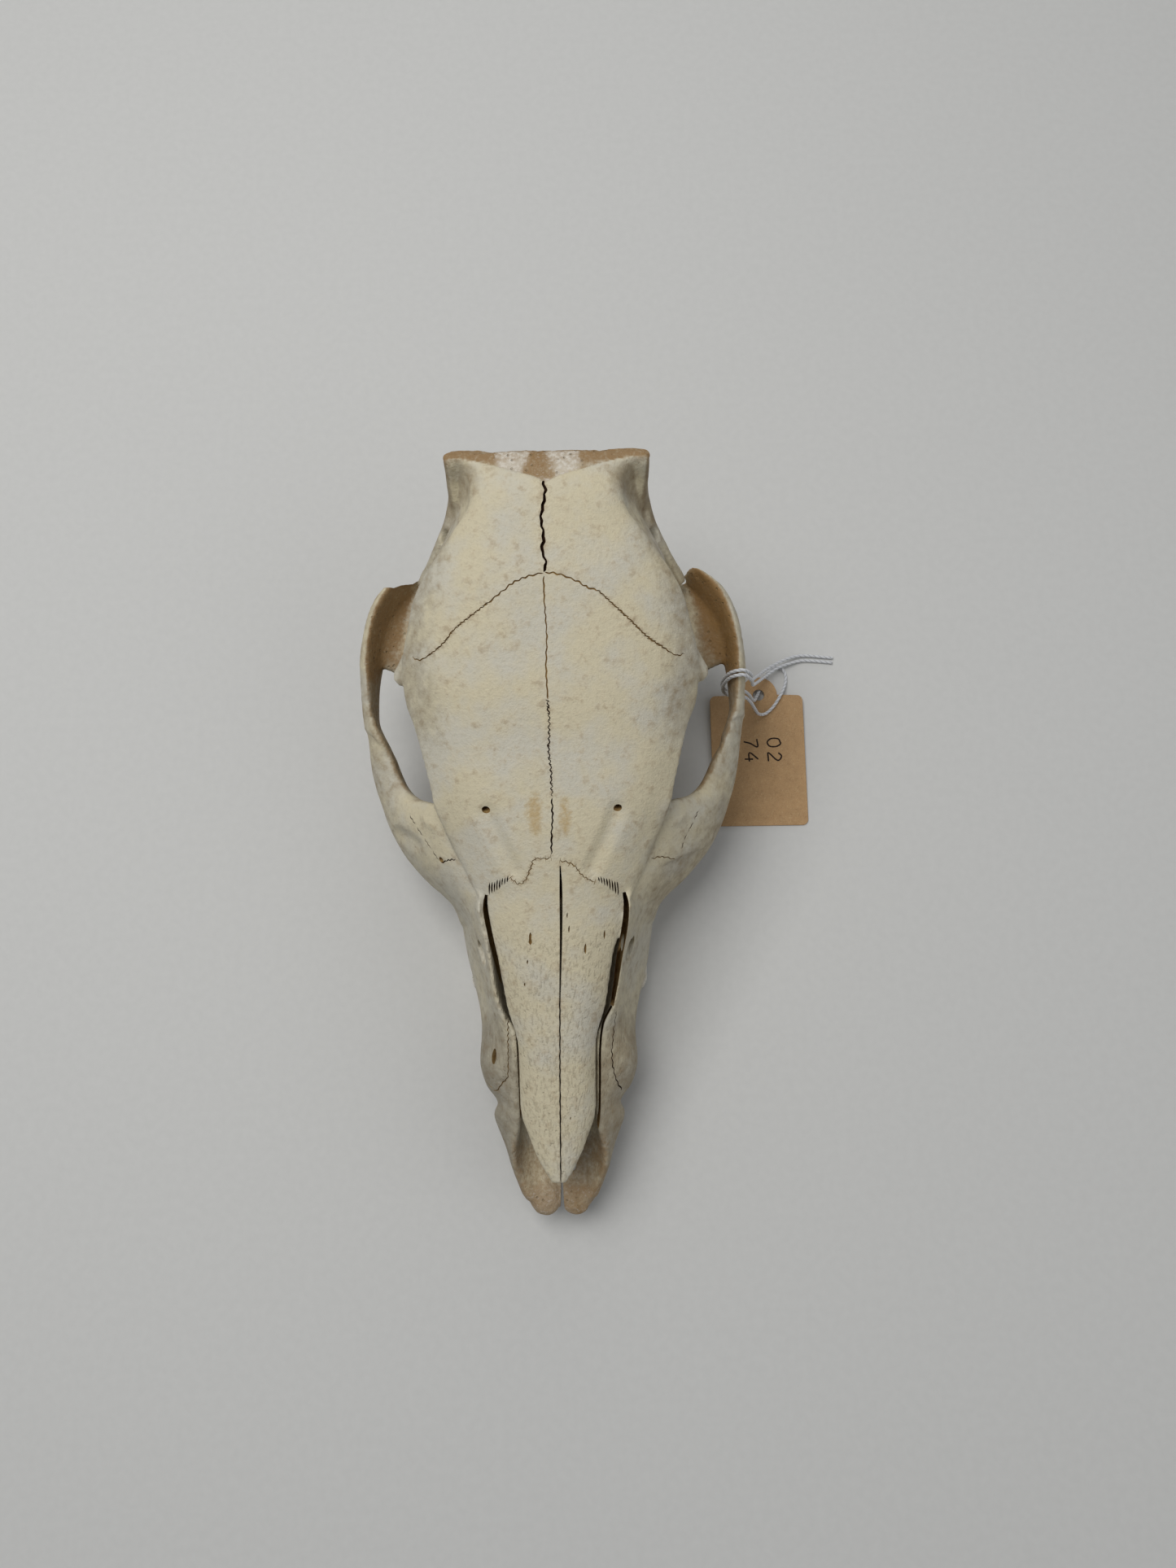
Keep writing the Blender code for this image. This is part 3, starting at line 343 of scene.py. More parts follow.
LACRIMAL = [(28, 5, 49, 2.6, 2.6), (33.2, 8.4, 47.4, 2.4, 2.2), (36, 10.4, 45.4, 1.5, 1.5)]
JUGULAR_PROCESS = [
    (20, 84, 52, 5.6, 4), (21.4, 81, 40, 4.8, 3.4), (21.6, 78, 26, 3.4, 2.6), (20.8, 75.6, 12, 2.6, 2.1),
    (20.2, 74.4, 3, 2.2, 1.9), (20, 74, -3, 1.9, 1.7),
]
BULLA = [
    (14.5, 66, 40, 6.5, 8.5), (15, 64.5, 31, 6, 7.6), (15, 62.5, 23, 4.2, 5), (14.6, 60.6, 16.5, 1.9, 2.2),
]
CONDYLE = [
    (3.4, 80, 33.6, 3.6, 2.6), (7.4, 85.4, 34.4, 4.4, 3.6),
    (10.6, 87.4, 39, 4.2, 4), (10.8, 86.6, 44.6, 3, 3.2),
]
PTERYGOID = [
    (9, 2, 17, 2.2, 5), (9.4, 12, 20, 1.7, 8), (9.2, 22, 23, 1.5, 9.5), (9, 31, 26, 1.6, 9),
    (9.4, 38, 30, 2.4, 7),
]
HAMULUS = [(9, 27, 17, 1.3, 2.6), (9.4, 31, 13.4, 1.2, 1.6), (10.4, 34, 10.6, 0.9, 1.1)]
PARIETAL_BASE = [(16, 46, 46, 8, 5), (20, 58, 44, 9, 7), (21, 70, 44, 8, 7)]

# Limbs on the midline.
BASE_BAR = [
    (0, 20, 30, 5, 4), (0, 34, 35, 7, 4), (0, 50, 34.5, 8, 4.4), (0, 66, 33, 8.6, 4),
    (0, 82, 33, 10, 3.4),
]
VOMER = [
    (0, 24, 24, 1.4, 6), (0, 8, 19, 1.4, 5), (0, -20, 19.5, 1.2, 4.6), (0, -60, 18, 1.1, 3.6),
    (0, -84, 15, 1, 1.6),
]
PALATE_REAR = [(0, -8, 14.4, 15, 2.1), (0, 4, 14.6, 13, 2), (0, 13, 15, 9.6, 1.6)]

INCISIVE_LOBE = ((4.3, -94, 12.7), (4.7, 5.6, 2.9))

# Cutters. Limbs as above, and balls as centre, half axes and turn about Z in degrees.
INFRAORBITAL = [
    (17.4, -18, 37, 2, 2), (19.4, -24, 39, 2, 2.8), (20.4, -28.4, 40, 2.1, 3.6), (23, -32, 39, 1.8, 2.6),
]
LACRIMAL_HOLLOW = ((36.9, 2, 55.4), (8, 9.5, 8), 0)
SUPRAORBITAL = [(16.3, 4.2, 67.4, 1.1, 0.9), (17, 7.6, 64.8, 1.1, 1), (18, 11, 61, 0.9, 0.8)]
EAR_CANAL = [(18, 80, 52, 1.8, 1.8), (27, 83.4, 62, 2, 2), (33, 86, 69, 2.2, 2.2)]
CANINE_SOCKET = [(12, -62, 20, 1.5, 1.5), (17.2, -68.4, 17.6, 1.7, 1.8), (21, -72, 15.8, 1.8, 1.9)]
FORAMEN_MAGNUM = [
    (0, 97, 47, 8, 7), (0, 88, 45.4, 7.8, 6.6), (0, 80, 46, 8, 7), (0, 70, 51, 14, 11),
    (0, 56, 58, 19, 13), (0, 44, 62, 14, 8), (0, 38, 63, 6, 4),
]
PALATINE_FISSURE = ((3.4, -83, 12), (1.1, 5, 4), 4)
INCISOR_SOCKETS = [
    ((3.6, -96.4, 9.6), (1.7, 1.9, 3), 0),
    ((7.6, -92.6, 9.2), (1.5, 2, 3), 30),
    ((10.4, -84.6, 9.6), (1.1, 1.9, 2.6), 14),
]
CANINE_WINDOW = [
    (-14, -56.1, 26.6, 2, 0.9), (-17.1, -55.1, 30.2, 2.1, 0.9), (-20.6, -54, 34.4, 2.2, 1),
]
OCCIPUT_HOLLOW = ((11, 105.4, 67), (9, 13.5, 17), 0)
# What has broken off behind the left shelf: its plan, then heights with the shift in y of the plan.
LEFT_BREAK = [
    (-60, 78.6), (-49.5, 78), (-47, 77.3), (-44.4, 77.3), (-42.6, 78.4), (-40, 79.2), (-38, 80.8),
    (-37.4, 92), (-60, 92),
]
LEFT_BREAK_SHIFTS = ((30, 2.8), (41, 0), (60, -4.8))
# The slots beside the nasal bones, the seam between them and the slit at the tip.
SLOT_RIGHT = [
    (18.6, -12.4, 52.5, 0.45, 6), (19.2, -16, 51, 0.75, 7),
    (18.7, -21.5, 49, 0.85, 7), (17.2, -29, 46, 0.85, 7),
    (16.1, -36, 42.5, 0.7, 7), (15, -42, 40, 0.5, 6),
]
SLOT_LEFT = [
    (-17.9, -12.4, 52.5, 0.4, 6), (-18.3, -16, 51, 0.7, 7),
    (-17.5, -21.5, 48.5, 0.75, 7), (-16, -29, 45.5, 0.75, 7),
    (-14.7, -36, 42.5, 0.65, 7), (-13.4, -42, 40, 0.5, 6),
]
SLOT_FRONT_RIGHT = [
    (14.9, -42, 40, 0.3, 5), (12.6, -46.5, 38.6, 0.3, 4.6), (11.7, -53, 36.4, 0.3, 4.4),
    (11.5, -62, 33.6, 0.3, 4), (11.2, -70, 31.4, 0.35, 4), (10.2, -77, 30, 0.8, 4),
]
SLOT_FRONT_LEFT = [
    (-13.3, -42, 40, 0.3, 5), (-11.3, -46.5, 38.6, 0.3, 4.6), (-10.7, -53, 36.4, 0.3, 4.4),
    (-10.5, -62, 33.6, 0.3, 4), (-10.3, -70, 31.4, 0.35, 4), (-9.4, -77, 30, 0.8, 4),
]
NASAL_SEAM = [
    (1.9, -5.5, 57, 0.2, 7), (2, -12, 55.5, 0.45, 6), (1.8, -24, 52, 0.36, 6),
    (1.2, -40, 46.5, 0.2, 5),
]
TIP_SLIT = [
    (0.4, -101, 13, 1.4, 6), (0.4, -97.6, 13, 0.7, 6), (0.35, -94, 13, 0.45, 6),
    (0.3, -89.5, 13, 0.3, 5),
]

# Sutures and edges of the bones, as points (x, y) seen from above.
SAGITTAL = [
    (-0.7, 88.4), (-0.2, 85), (-0.9, 81), (-1.3, 77.5), (-0.7, 74), (-1.1, 70.5), (-0.3, 67.5),
    (-0.9, 65.2),
]
INTERFRONTAL_REAR = [(-0.9, 64.2), (-0.8, 58), (-0.4, 50), (-0.7, 42), (-0.4, 34.4)]
INTERFRONTAL_MIDDLE = [(-0.4, 34), (-0.2, 28), (-0.5, 22), (0, 17), (0.1, 11)]
INTERFRONTAL_FRONT = [(0.1, 10.4), (0.2, 6), (-0.1, 1), (-0.3, -3.6)]
CORONAL_LEFT_INNER = [(-1, 65), (-3.4, 64.5), (-6.7, 63.6), (-10.9, 61.2), (-15.1, 58.2)]
CORONAL_LEFT_OUTER = [
    (-15.1, 58.2), (-19.4, 55.5), (-23.8, 52.6), (-27.1, 49.4), (-30.6, 47.3), (-33.6, 46.5),
    (-36, 47.8),
]
CORONAL_RIGHT_INNER = [(-0.6, 65), (2.6, 64.6), (6.7, 63.2), (9.8, 61.6), (12.9, 60.6)]
CORONAL_RIGHT_OUTER = [
    (12.9, 60.6), (17, 57.1), (21.1, 53.6), (25.3, 50), (29.6, 47.7), (32.9, 46.5), (35.2, 47.5),
]
FRONTONASAL_LEFT = [
    (-11.2, -9), (-9.1, -10.6), (-7.3, -9.9), (-5.8, -7.1), (-4.6, -4.7), (-1.9, -4.6),
    (-0.4, -4.4),
]
FRONTONASAL_RIGHT = [(1.9, -5.2), (3.8, -5.6), (5.7, -6.5), (7.3, -8.5), (9, -9.7), (10.9, -10.4)]
NASAL_FRONT = [(1.2, -40), (0.9, -55), (0.7, -70), (0.5, -88.2)]
PREMAXILLA_LEFT = [
    (-19.8, -62.3), (-18.1, -64.3), (-16.8, -63.8), (-15.2, -61.9), (-13.8, -60.1), (-13.5, -53),
    (-13.3, -45),
]
PREMAXILLA_RIGHT = [(17.6, -64.8), (16, -61.5), (15.2, -58.4), (15, -53.6), (15.6, -48), (16.4, -43)]
LACRIMAL_EDGE_LEFT = [(-40.3, 11.1), (-38, 7.4), (-35.9, 4.2), (-33.6, 0.7), (-31.3, -2.7)]
LACRIMAL_EDGE_RIGHT = [(40.2, 11.2), (38.5, 7.7), (36.6, 4.3), (35.6, 2.3), (35, -0.2)]
LACRIMAL_BRANCH_LEFT = [(-31, -2.8), (-28.5, -2.5), (-26.5, -2.6)]
LACRIMAL_BRANCH_RIGHT = [(26.4, -3.2), (29, -2.5), (31.4, -2.5), (33.3, -2.6)]
JUGAL_EDGE_RIGHT = [(32.4, -3), (35.3, -1.5), (38.3, 0), (41.5, 1.7), (44.4, 3.4)]
LACRIMAL_HOLE = [
    (-32.6, -4.6, 47.6, 0.8, 0.7), (-31, -2.2, 45.8, 0.9, 0.8), (-29.6, -0.2, 43.6, 0.5, 0.5),
]
JUGAL_CREASE_LEFT = [(-45.1, 7.6), (-41.6, 5.4), (-38.5, 2.7)]
FRONTAL_EDGE_LEFT = [
    (-31.9, 10.8), (-29.8, 6.5), (-28.3, 2.9), (-26.4, -1), (-24.6, -4.2), (-22.9, -8),
    (-21.1, -11.1), (-19.9, -13.3),
]
FRONTAL_EDGE_RIGHT = [
    (31.3, 10.7), (29.5, 6), (27.5, 1.8), (25.7, -2.3), (23.9, -6.6), (22.3, -10), (20.9, -12.8),
]
ARCH_STEP_LEFT = [(-52.6, 35.4), (-50, 32.8), (-48.4, 30.9), (-46.7, 28.3)]
ARCH_STEP_RIGHT = [(52.6, 38), (49.9, 36.3), (48.4, 33.9), (46.6, 31.4)]
BROW_FURROW = [(17, 7.2), (14.6, 1.5), (12.2, -3), (10.2, -7)]
# Where the roof of the parietals ends at the rear, as distance from the midline and y.
PARIETAL_END = [(0, 87.6), (3, 89.4), (8, 91.2), (14, 93.4), (20, 95.6), (23, 96.2)]
# Nutrient slits of the nasal bones: x, y, length and width.
NASAL_SLITS = [
    (-6.3, -24.6, 3.2, 0.8), (3.9, -22.3, 1.8, 0.4), (8.1, -27.3, 2.6, 0.6), (13.2, -23.6, 2.2, 0.4),
    (-8.1, -36.2, 0.9, 0.5), (3.5, -18.8, 1.4, 0.4), (3.4, -71.3, 0.8, 0.5), (-7.2, -30.5, 1.2, 0.4),
]

# Right cheek teeth, front to back: name, x, y, half width, half length.
CHEEK_TEETH = [
    ("premolar_2", 17.0, -50.8, 2.2, 3.7),
    ("premolar_3", 18.9, -42.0, 3.1, 4.2),
    ("premolar_4", 21.8, -30.8, 4.7, 6.0),
    ("molar_1", 22.0, -17.2, 5.1, 6.4),
]
# Share of the half sizes at each height of a cheek tooth, from the worn cusps up to the root.
TOOTH_OUTLINE = [(0.5, 0.72), (1.1, 0.86), (2.6, 1), (4.6, 0.95), (6.4, 0.8), (10, 0.64), (12.6, 0.46)]

# The card tag lies under the right arch. Its tab is propped up by the string that runs under it.
TAG_LEFT = 48.9
TAG_RIGHT = 78.5
TAG_FOOT = 13.9
TAG_HEAD = 55.9
TAG_CORNER_RADIUS = 1.8
TAG_TAB_CENTRE = (64.5, 56.0)
TAG_TAB_RADIUS = 5.9
TAG_HOLE_RADIUS = 1.8
TAG_THICKNESS = 0.5
TAG_LIFT = math.atan(0.036)

# The camera looks down from above the skull's snout side, in degrees and metres.
CAMERA_TILT = 12
CAMERA_ROLL = -0.9
CAMERA_AIM = (0.0095, 0.0282, 0)
CAMERA_DISTANCE = 0.373
CAMERA_SENSOR = 36
CAMERA_LENS = 1447 / 1927 * CAMERA_SENSOR

# Soft lamps: name, place and width in metres, and share of the main light's power.
LAMPS = (
    ("key", (-0.28, 0.22, 0.9), 0.6, 1.0),
    ("fill", (0.75, -0.2, 0.6), 0.7, 0.16),
    ("rear", (0.1, 0.9, 0.5), 0.5, 0.12),
)

# Where the digits stand on the card: the middle of the first one, the steps to the next row and the
# next digit of a row, and the digits' height and width.
DIGITS_START = (66.6, 42)
DIGITS_STEP = (7.4, 4.6)
DIGITS_SIZE = (0.72, 0.78)

# The string: from one cut end up to the arch, once round it, down through the hole of the tag, in a
# ring over the card, up to the arch and round it again, and out to the other cut end.
STRING_ROUTE = [
    (89.2, 68.5, 0.6), (85.2, 68.9, 0.6), (81, 69.3, 0.7), (77.2, 69, 1.2), (73.6, 67.6, 2.4),
    (70, 65.6, 3.8), (66.2, 62.9, 6), (62.2, 58.5, 13), (59, 53.9, 25), (57.2, 51, 37.5),
    (56.1, 49.7, 44.9), (53.4, 49.5, 49.6), (50.3, 49.5, 47.8), (48.9, 49.6, 41.6), (49.1, 49.7, 34.6),
    (50.9, 49.8, 29.6), (53.6, 49.9, 28.2), (56.2, 50.2, 26.8), (58.6, 50.8, 21), (60.8, 51.8, 12.5),
    (62.6, 53.2, 5.6), (63.5, 54.8, 3.5), (64.3, 56.2, 1.8), (65.3, 58.4, 0.65), (66.6, 61.4, 0.6),
    (68.4, 64.2, 0.6), (70.4, 65.6, 0.65), (72.6, 65, 0.7), (73.6, 62.8, 0.8), (73.2, 59.6, 1.5),
    (71.6, 56, 2.9), (69.2, 52.2, 2.8), (66.4, 49.6, 3), (63.8, 48.7, 5.6), (61.6, 48.5, 12.5),
    (59.2, 48.4, 20.6), (56.6, 48.4, 26.4), (53.8, 48.4, 27.9), (51, 48.4, 29.2), (49.2, 48.4, 34.4),
    (49, 48.3, 41.4), (50.3, 48.2, 47.5), (53.4, 48.2, 49.3), (56.1, 48.3, 44.6), (57.6, 49.8, 37),
    (59.6, 52.7, 24.4), (62.8, 57.2, 12.2), (66.8, 61.5, 5), (70.6, 64.5, 3), (74.4, 66.3, 1.6),
    (78.8, 67.6, 0.7), (83.2, 67.5, 0.6), (88.9, 66.9, 0.6),
]

# Pen strokes of plain digits in a box 4 wide and 6 high.
DIGITS = {
    "0": [[(2, 6), (0.5, 4.8), (0.3, 2), (1.6, 0.1), (3.3, 0.9), (3.7, 3.6), (2.9, 5.6), (2, 6)]],
    "2": [[(0.4, 4.8), (1.6, 6), (3.3, 5.4), (3.2, 3.8), (0.3, 0.3), (2, 0.2), (3.9, 0.4)]],
    "4": [[(2.8, 6), (0.2, 2.2), (3.9, 2.1)], [(2.9, 3.8), (2.7, 0)]],
    "7": [[(0.3, 5.8), (3.8, 5.9), (2.3, 3), (1.5, 0)]],
}


def linear(hexes):
    """A colour given as sRGB hex digits, as the linear numbers that shaders take."""
    values = [int(hexes[i:i + 2], 16) / 255 for i in (0, 2, 4)]
    return tuple(v / 12.92 if v <= 0.04045 else ((v + 0.055) / 1.055) ** 2.4 for v in values)


def smooth_rows(rows, steps, closed=False):
    """Rows of numbers on a Catmull-Rom curve through the given rows, with this many steps a span."""
    rows = np.array(rows, float)
    if closed:
        ends = rows[-1:], rows, rows[:2]
    else:
        ends = 2 * rows[:1] - rows[1:2], rows, 2 * rows[-1:] - rows[-2:-1]
    padded = np.concatenate(ends)
    made = []
    for a, b, c, d in zip(padded, padded[1:], padded[2:], padded[3:]):
        for t in np.arange(steps) / steps:
            curved = (2 * a - 5 * b + 4 * c - d) * t**2 + (3 * b - a - 3 * c + d) * t**3
            made.append(0.5 * (2 * b + (c - a) * t + curved))
    return np.array(made if closed else [*made, rows[-1]])


def spaced_rows(rows, step):
    """Rows about this far apart on the smooth curve through the given ones."""
    fine = smooth_rows(rows, 12)
    travelled = np.concatenate([[0], np.cumsum(np.linalg.norm(np.diff(fine, axis=0), axis=1))])
    stops = np.linspace(0, travelled[-1], max(3, round(travelled[-1] / step) + 1))
    return stops, np.column_stack([np.interp(stops, travelled, column) for column in fine.T])


def skin(mesh, rings):
    """Joins closed rings of points in millimetres with faces and caps both ends."""
    loops = []
    for ring in rings:
        corners = [mesh.verts.new(Vector(point) * MM) for point in ring]
        loops.append([mesh.edges.new(pair) for pair in zip(corners, corners[1:] + corners[:1])])
    for near, far in zip(loops, loops[1:]):
        bmesh.ops.bridge_loops(mesh, edges=near + far)
    for loop in (loops[0], loops[-1]):
        bmesh.ops.edgeloop_fill(mesh, edges=loop)


def section_rings(stations, along, around, mirrored=True, side=1):
    """Rings in planes of constant y: half sections mirrored at x = 0, or whole sections on one side."""
    rows = []
    for y, points in stations:
        whole = list(points)
        if mirrored:
            whole += [(-x, z) for x, z in reversed(points) if x > 0]
        rows.append([(side * x, y, z) for x, z in whole])
    return [smooth_rows(ring, around, closed=True) for ring in smooth_rows(rows, along)]


def limb_rings(stations, along=6, corners=20, side=1):
    """Elliptical rings square to a smooth path."""
    rows = smooth_rows(stations, along)
    rows[:, 0] *= side
    rings = []
    for index, row in enumerate(rows):
        before, after = rows[max(index - 1, 0)], rows[min(index + 1, len(rows) - 1)]
        ahead = Vector(after[:3] - before[:3]).normalized()
        level = ahead.cross(Vector((0, 0, 1)))
        if level.length < 0.35:
            level = ahead.cross(Vector((0, 1, 0)))
        level.normalize()
        upright = level.cross(ahead)
        ring = []
        for corner in range(corners):
            angle = 2 * math.pi * corner / corners
            across = level * (math.cos(angle) * row[3])
            ring.append(Vector(row[:3]) + across + upright * (math.sin(angle) * row[4]))
        rings.append(ring)
    return rings


def add_ball(mesh, centre, half_axes, turn=0.0, side=1):
    """An ellipsoid, turned about Z in degrees."""
    place = Matrix.Translation(Vector((side * centre[0], centre[1], centre[2])) * MM)
    turned = Matrix.Rotation(math.radians(side * turn), 4, "Z")
    size = Matrix.Diagonal((*(Vector(half_axes) * MM), 1))
    bmesh.ops.create_uvsphere(mesh, u_segments=24, v_segments=14, radius=1, matrix=place @ turned @ size)


def finish_mesh(name, mesh, *materials, outward=True):
    """Turns a bmesh into a linked object at the origin."""
    if outward:
        bmesh.ops.recalc_face_normals(mesh, faces=mesh.faces)
    data = bpy.data.meshes.new(name)
    mesh.to_mesh(data)
    mesh.free()
    thing = bpy.data.objects.new(name, data)
    bpy.context.scene.collection.objects.link(thing)
    for material in materials:
        data.materials.append(material)
    return thing


def settle(thing):
    """Replaces an object's mesh by the one its modifiers make."""
    bpy.context.view_layer.update()
    graph = bpy.context.evaluated_depsgraph_get()
    made = bpy.data.meshes.new_from_object(thing.evaluated_get(graph), depsgraph=graph)
    thing.modifiers.clear()
    thing.data = made
    made.name = thing.name


def cut(thing, *cutters):
    """Takes closed cutters away from an object, whose new faces keep the cutters' materials."""
    for cutter in cutters:
        boolean = thing.modifiers.new(cutter.name, "BOOLEAN")
        boolean.operation = "DIFFERENCE"
        boolean.solver = "EXACT"
        boolean.material_mode = "TRANSFER"
        boolean.object = cutter
    before = len(thing.data.polygons)
    settle(thing)
    if len(thing.data.polygons) < before / 2:
        raise RuntimeError(f"the cuts took most of {thing.name} away")
    for cutter in cutters:
        bpy.data.objects.remove(cutter)


def drop_folds(thing):
    """Deletes faces that lie on each other in pairs, as a Boolean leaves where two walls just touch."""
    mesh = bmesh.new()
    mesh.from_mesh(thing.data)
    by_corners = {}
    for face in mesh.faces:
        by_corners.setdefault(frozenset(face.verts), []).append(face)
    doubled = [face for faces in by_corners.values() if len(faces) > 1 for face in faces]
    bmesh.ops.delete(mesh, geom=doubled, context="FACES")
    mesh.to_mesh(thing.data)
    mesh.free()


def melt(thing, voxel, smoothing):
    """Joins overlapping shells into one skin and rounds where they meet."""
    remesh = thing.modifiers.new("melt", "REMESH")
    remesh.mode = "VOXEL"
    remesh.voxel_size = voxel * MM
    soften = thing.modifiers.new("soften", "SMOOTH")
    soften.factor = 0.5
    soften.iterations = smoothing
    settle(thing)


def points_of(data):
    """A mesh's points and their normals, in millimetres."""
    points = np.empty(len(data.vertices) * 3, np.float32)
    normals = np.empty_like(points)
    data.vertices.foreach_get("co", points)
    data.vertices.foreach_get("normal", normals)
    return points.reshape(-1, 3).astype(float) / MM, normals.reshape(-1, 3).astype(float)


def rise(values, low, high):
    """A soft step from 0 at low to 1 at high."""
    share = np.clip((values - low) / (high - low), 0, 1)
    return share * share * (3 - 2 * share)


def blob(points, centre, half_axes, soft=0.35):
    """1 inside an ellipsoid, falling to 0 outside it."""
    away = np.linalg.norm((points - np.array(centre)) / np.array(half_axes), axis=1)
    return 1 - rise(away, 1 - soft, 1 + soft)


def from_line(points, line, reach):
    """How near points are to a line seen from above, from 1 on it to 0 at its reach, and how many
    millimetres they lie on the left of its direction."""
    _, rows = spaced_rows(line, 0.5)
    ahead = np.gradient(rows, axis=0)
    ahead /= np.linalg.norm(ahead, axis=1)[:, None]
    near, aside = np.zeros(len(points)), np.zeros(len(points))
    low, high = rows.min(0) - reach, rows.max(0) + reach
    close = np.flatnonzero(((points[:, :2] > low) & (points[:, :2] < high)).all(1))
    for start in range(0, len(close), 4000):
        some = close[start:start + 4000]
        gaps = points[some, None, :2] - rows[None]
        far = np.linalg.norm(gaps, axis=2)
        best = far.argmin(1)
        gap, way = gaps[np.arange(len(some)), best], ahead[best]
        near[some] = 1 - rise(far.min(1), 0, reach)
        aside[some] = way[:, 0] * gap[:, 1] - way[:, 1] * gap[:, 0]
    return near, aside


def near_line(points, line, reach):
    """1 on a line seen from above, falling to 0 at this distance from it."""
    return from_line(points, line, reach)[0]


def step_at(points, line, reach, sharp=0.5):
    """A step along a line seen from above: 1 on its left, -1 on its right, fading out at its reach."""
    near, aside = from_line(points, line, reach)
    return near * (2 * rise(aside, -sharp, sharp) - 1)


def rumple(points, size, seed):
    """Even noise from -1 to 1, whose lumps are about this many millimetres across."""
    shift = Vector((seed * 17.3, seed * 5.1, seed * 9.7))
    return np.array([noise.noise(Vector(point) / size + shift) for point in points])


def groove(mesh, roof, line, width, depth, swing=0.0, pitch=1.6, seed=0, step=0.25):
    """A wedge along a line on the roof, which swings from side to side as a suture does."""
    chance = np.random.default_rng(seed)
    stops, path = spaced_rows(line, step)
    ahead = np.gradient(path, axis=0)
    ahead /= np.linalg.norm(ahead, axis=1)[:, None]
    count = int(stops[-1] / pitch) * 2 + 4
    knots = np.concatenate([[0], np.cumsum(chance.uniform(0.35, 0.65, count) * pitch)])
    tips = np.where(np.arange(len(knots)) % 2, 1, -1) * chance.uniform(0.35, 1, len(knots)) * swing
    offset = np.interp(stops, knots, tips)
    slant = np.hypot(1, np.gradient(offset, stops))
    uneven = np.interp(stops, knots, chance.uniform(0.7, 1.3, len(knots)))
    ends = np.clip(np.minimum(stops, stops[-1] - stops) / 0.8 + 0.25, 0, 1)
    widths = width / 2 * uneven * ends * np.minimum(slant, 2)
    spots = []
    for (x, y), (along_x, along_y), aside, wide in zip(path, ahead, offset, widths):
        above = Vector((x + along_y * aside, y - along_x * aside, 150))
        hit, normal, _, _ = roof.ray_cast(above * MM, Vector((0, 0, -1)))
        if hit is not None:
            spots.append((hit / MM, normal, Vector((along_y, -along_x, 0)), wide))
    rings, last = [], None
    for index, (hit, _, level, wide) in enumerate(spots):
        if last is not None and abs(hit.z - last.z) > 0.8:
            # The line leaves one bone for a lower one, so a new wedge starts.
            if len(rings) > 2:
                skin(mesh, rings)
            rings = []
        last = hit
        normal = sum((spot[1] for spot in spots[max(0, index - 4):index + 5]), Vector()).normalized()
        level = (level - normal * level.dot(normal)).normalized()
        deep = depth * min(1, wide / (width / 2) + 0.2)
        rings.append([
            hit + normal * 0.5 + level * wide * 1.15,
            hit - normal * deep * 0.55 + level * wide * 0.8,
            hit - normal * deep,
            hit - normal * deep * 0.55 - level * wide * 0.8,
            hit + normal * 0.5 - level * wide * 1.15,
        ])
    if len(rings) > 2:
        skin(mesh, rings)


def stitch(mesh, roof, line, long, width, depth, pitch, lean, seed):
    """Short wedges side by side along a line, at an angle to it, as the teeth of a suture show."""
    chance = np.random.default_rng(seed)
    _, path = spaced_rows(line, pitch)
    ahead = np.gradient(path, axis=0)
    ahead /= np.linalg.norm(ahead, axis=1)[:, None]
    for index, (spot, way) in enumerate(zip(path, ahead)):
        turn = math.radians(lean + chance.uniform(-7, 7))
        across = np.array([
            math.cos(turn) * way[0] - math.sin(turn) * way[1],
            math.sin(turn) * way[0] + math.cos(turn) * way[1],
        ])
        half = long / 2 * chance.uniform(0.55, 1.25)
        wide = width * chance.uniform(0.7, 1.2)
        tooth = [spot - across * half, spot, spot + across * half]
        groove(mesh, roof, tooth, wide, depth, seed=seed + index)


def add_node(tree, kind, settings=None, links=None):
    """A shader node with its settings, values by socket name, and links into its sockets."""
    node = tree.nodes.new(kind)
    for name, value in (settings or {}).items():
        if hasattr(node, name):
            setattr(node, name, value)
        else:
            node.inputs[name].default_value = value
    for name, source in (links or {}).items():
        tree.links.new(source, node.inputs[name])
    return node


def new_material(name, roughness, settings=None):
    """An empty material with its Principled shader."""
    material = bpy.data.materials.new(name)
    material.use_nodes = True
    shader = material.node_tree.nodes["Principled BSDF"]
    shader.inputs["Roughness"].default_value = roughness
    for socket, value in (settings or {}).items():
        shader.inputs[socket].default_value = value
    return material, material.node_tree, shader


def blend_colours(tree, share, first, second):
    """Mixes two colours, each a socket or linear numbers, by a share."""
    mix = add_node(tree, "ShaderNodeMix", {"data_type": "RGBA"}, {0: share} if share is not None else None)
    for index, colour in ((6, first), (7, second)):
        if isinstance(colour, tuple):
            mix.inputs[index].default_value = (*colour, 1)
        else:
            tree.links.new(colour, mix.inputs[index])
    return mix.outputs[2]


def span(tree, source, low, high, to_low=0.0, to_high=1.0):
    """Maps a number from one range to another, held at both ends."""
    settings = {"From Min": low, "From Max": high, "To Min": to_low, "To Max": to_high}
    return add_node(tree, "ShaderNodeMapRange", settings, {"Value": source}).outputs["Result"]


def object_place(tree):
    """The place on the object, in metres, from which every pattern is made."""
    return add_node(tree, "ShaderNodeTexCoord").outputs["Object"]


def stretched(tree, place, scale):
    """The place squeezed along some axes, so that a pattern read there is stretched along them."""
    return add_node(tree, "ShaderNodeMapping", {"Scale": scale}, {"Vector": place}).outputs["Vector"]


def noise_at(tree, place, scale, detail, roughness=0.5):
    """Cloudy noise, whose lumps are about 1 / scale metres across."""
    settings = {"Scale": scale, "Detail": detail, "Roughness": roughness}
    return add_node(tree, "ShaderNodeTexNoise", settings, {"Vector": place}).outputs["Fac"]


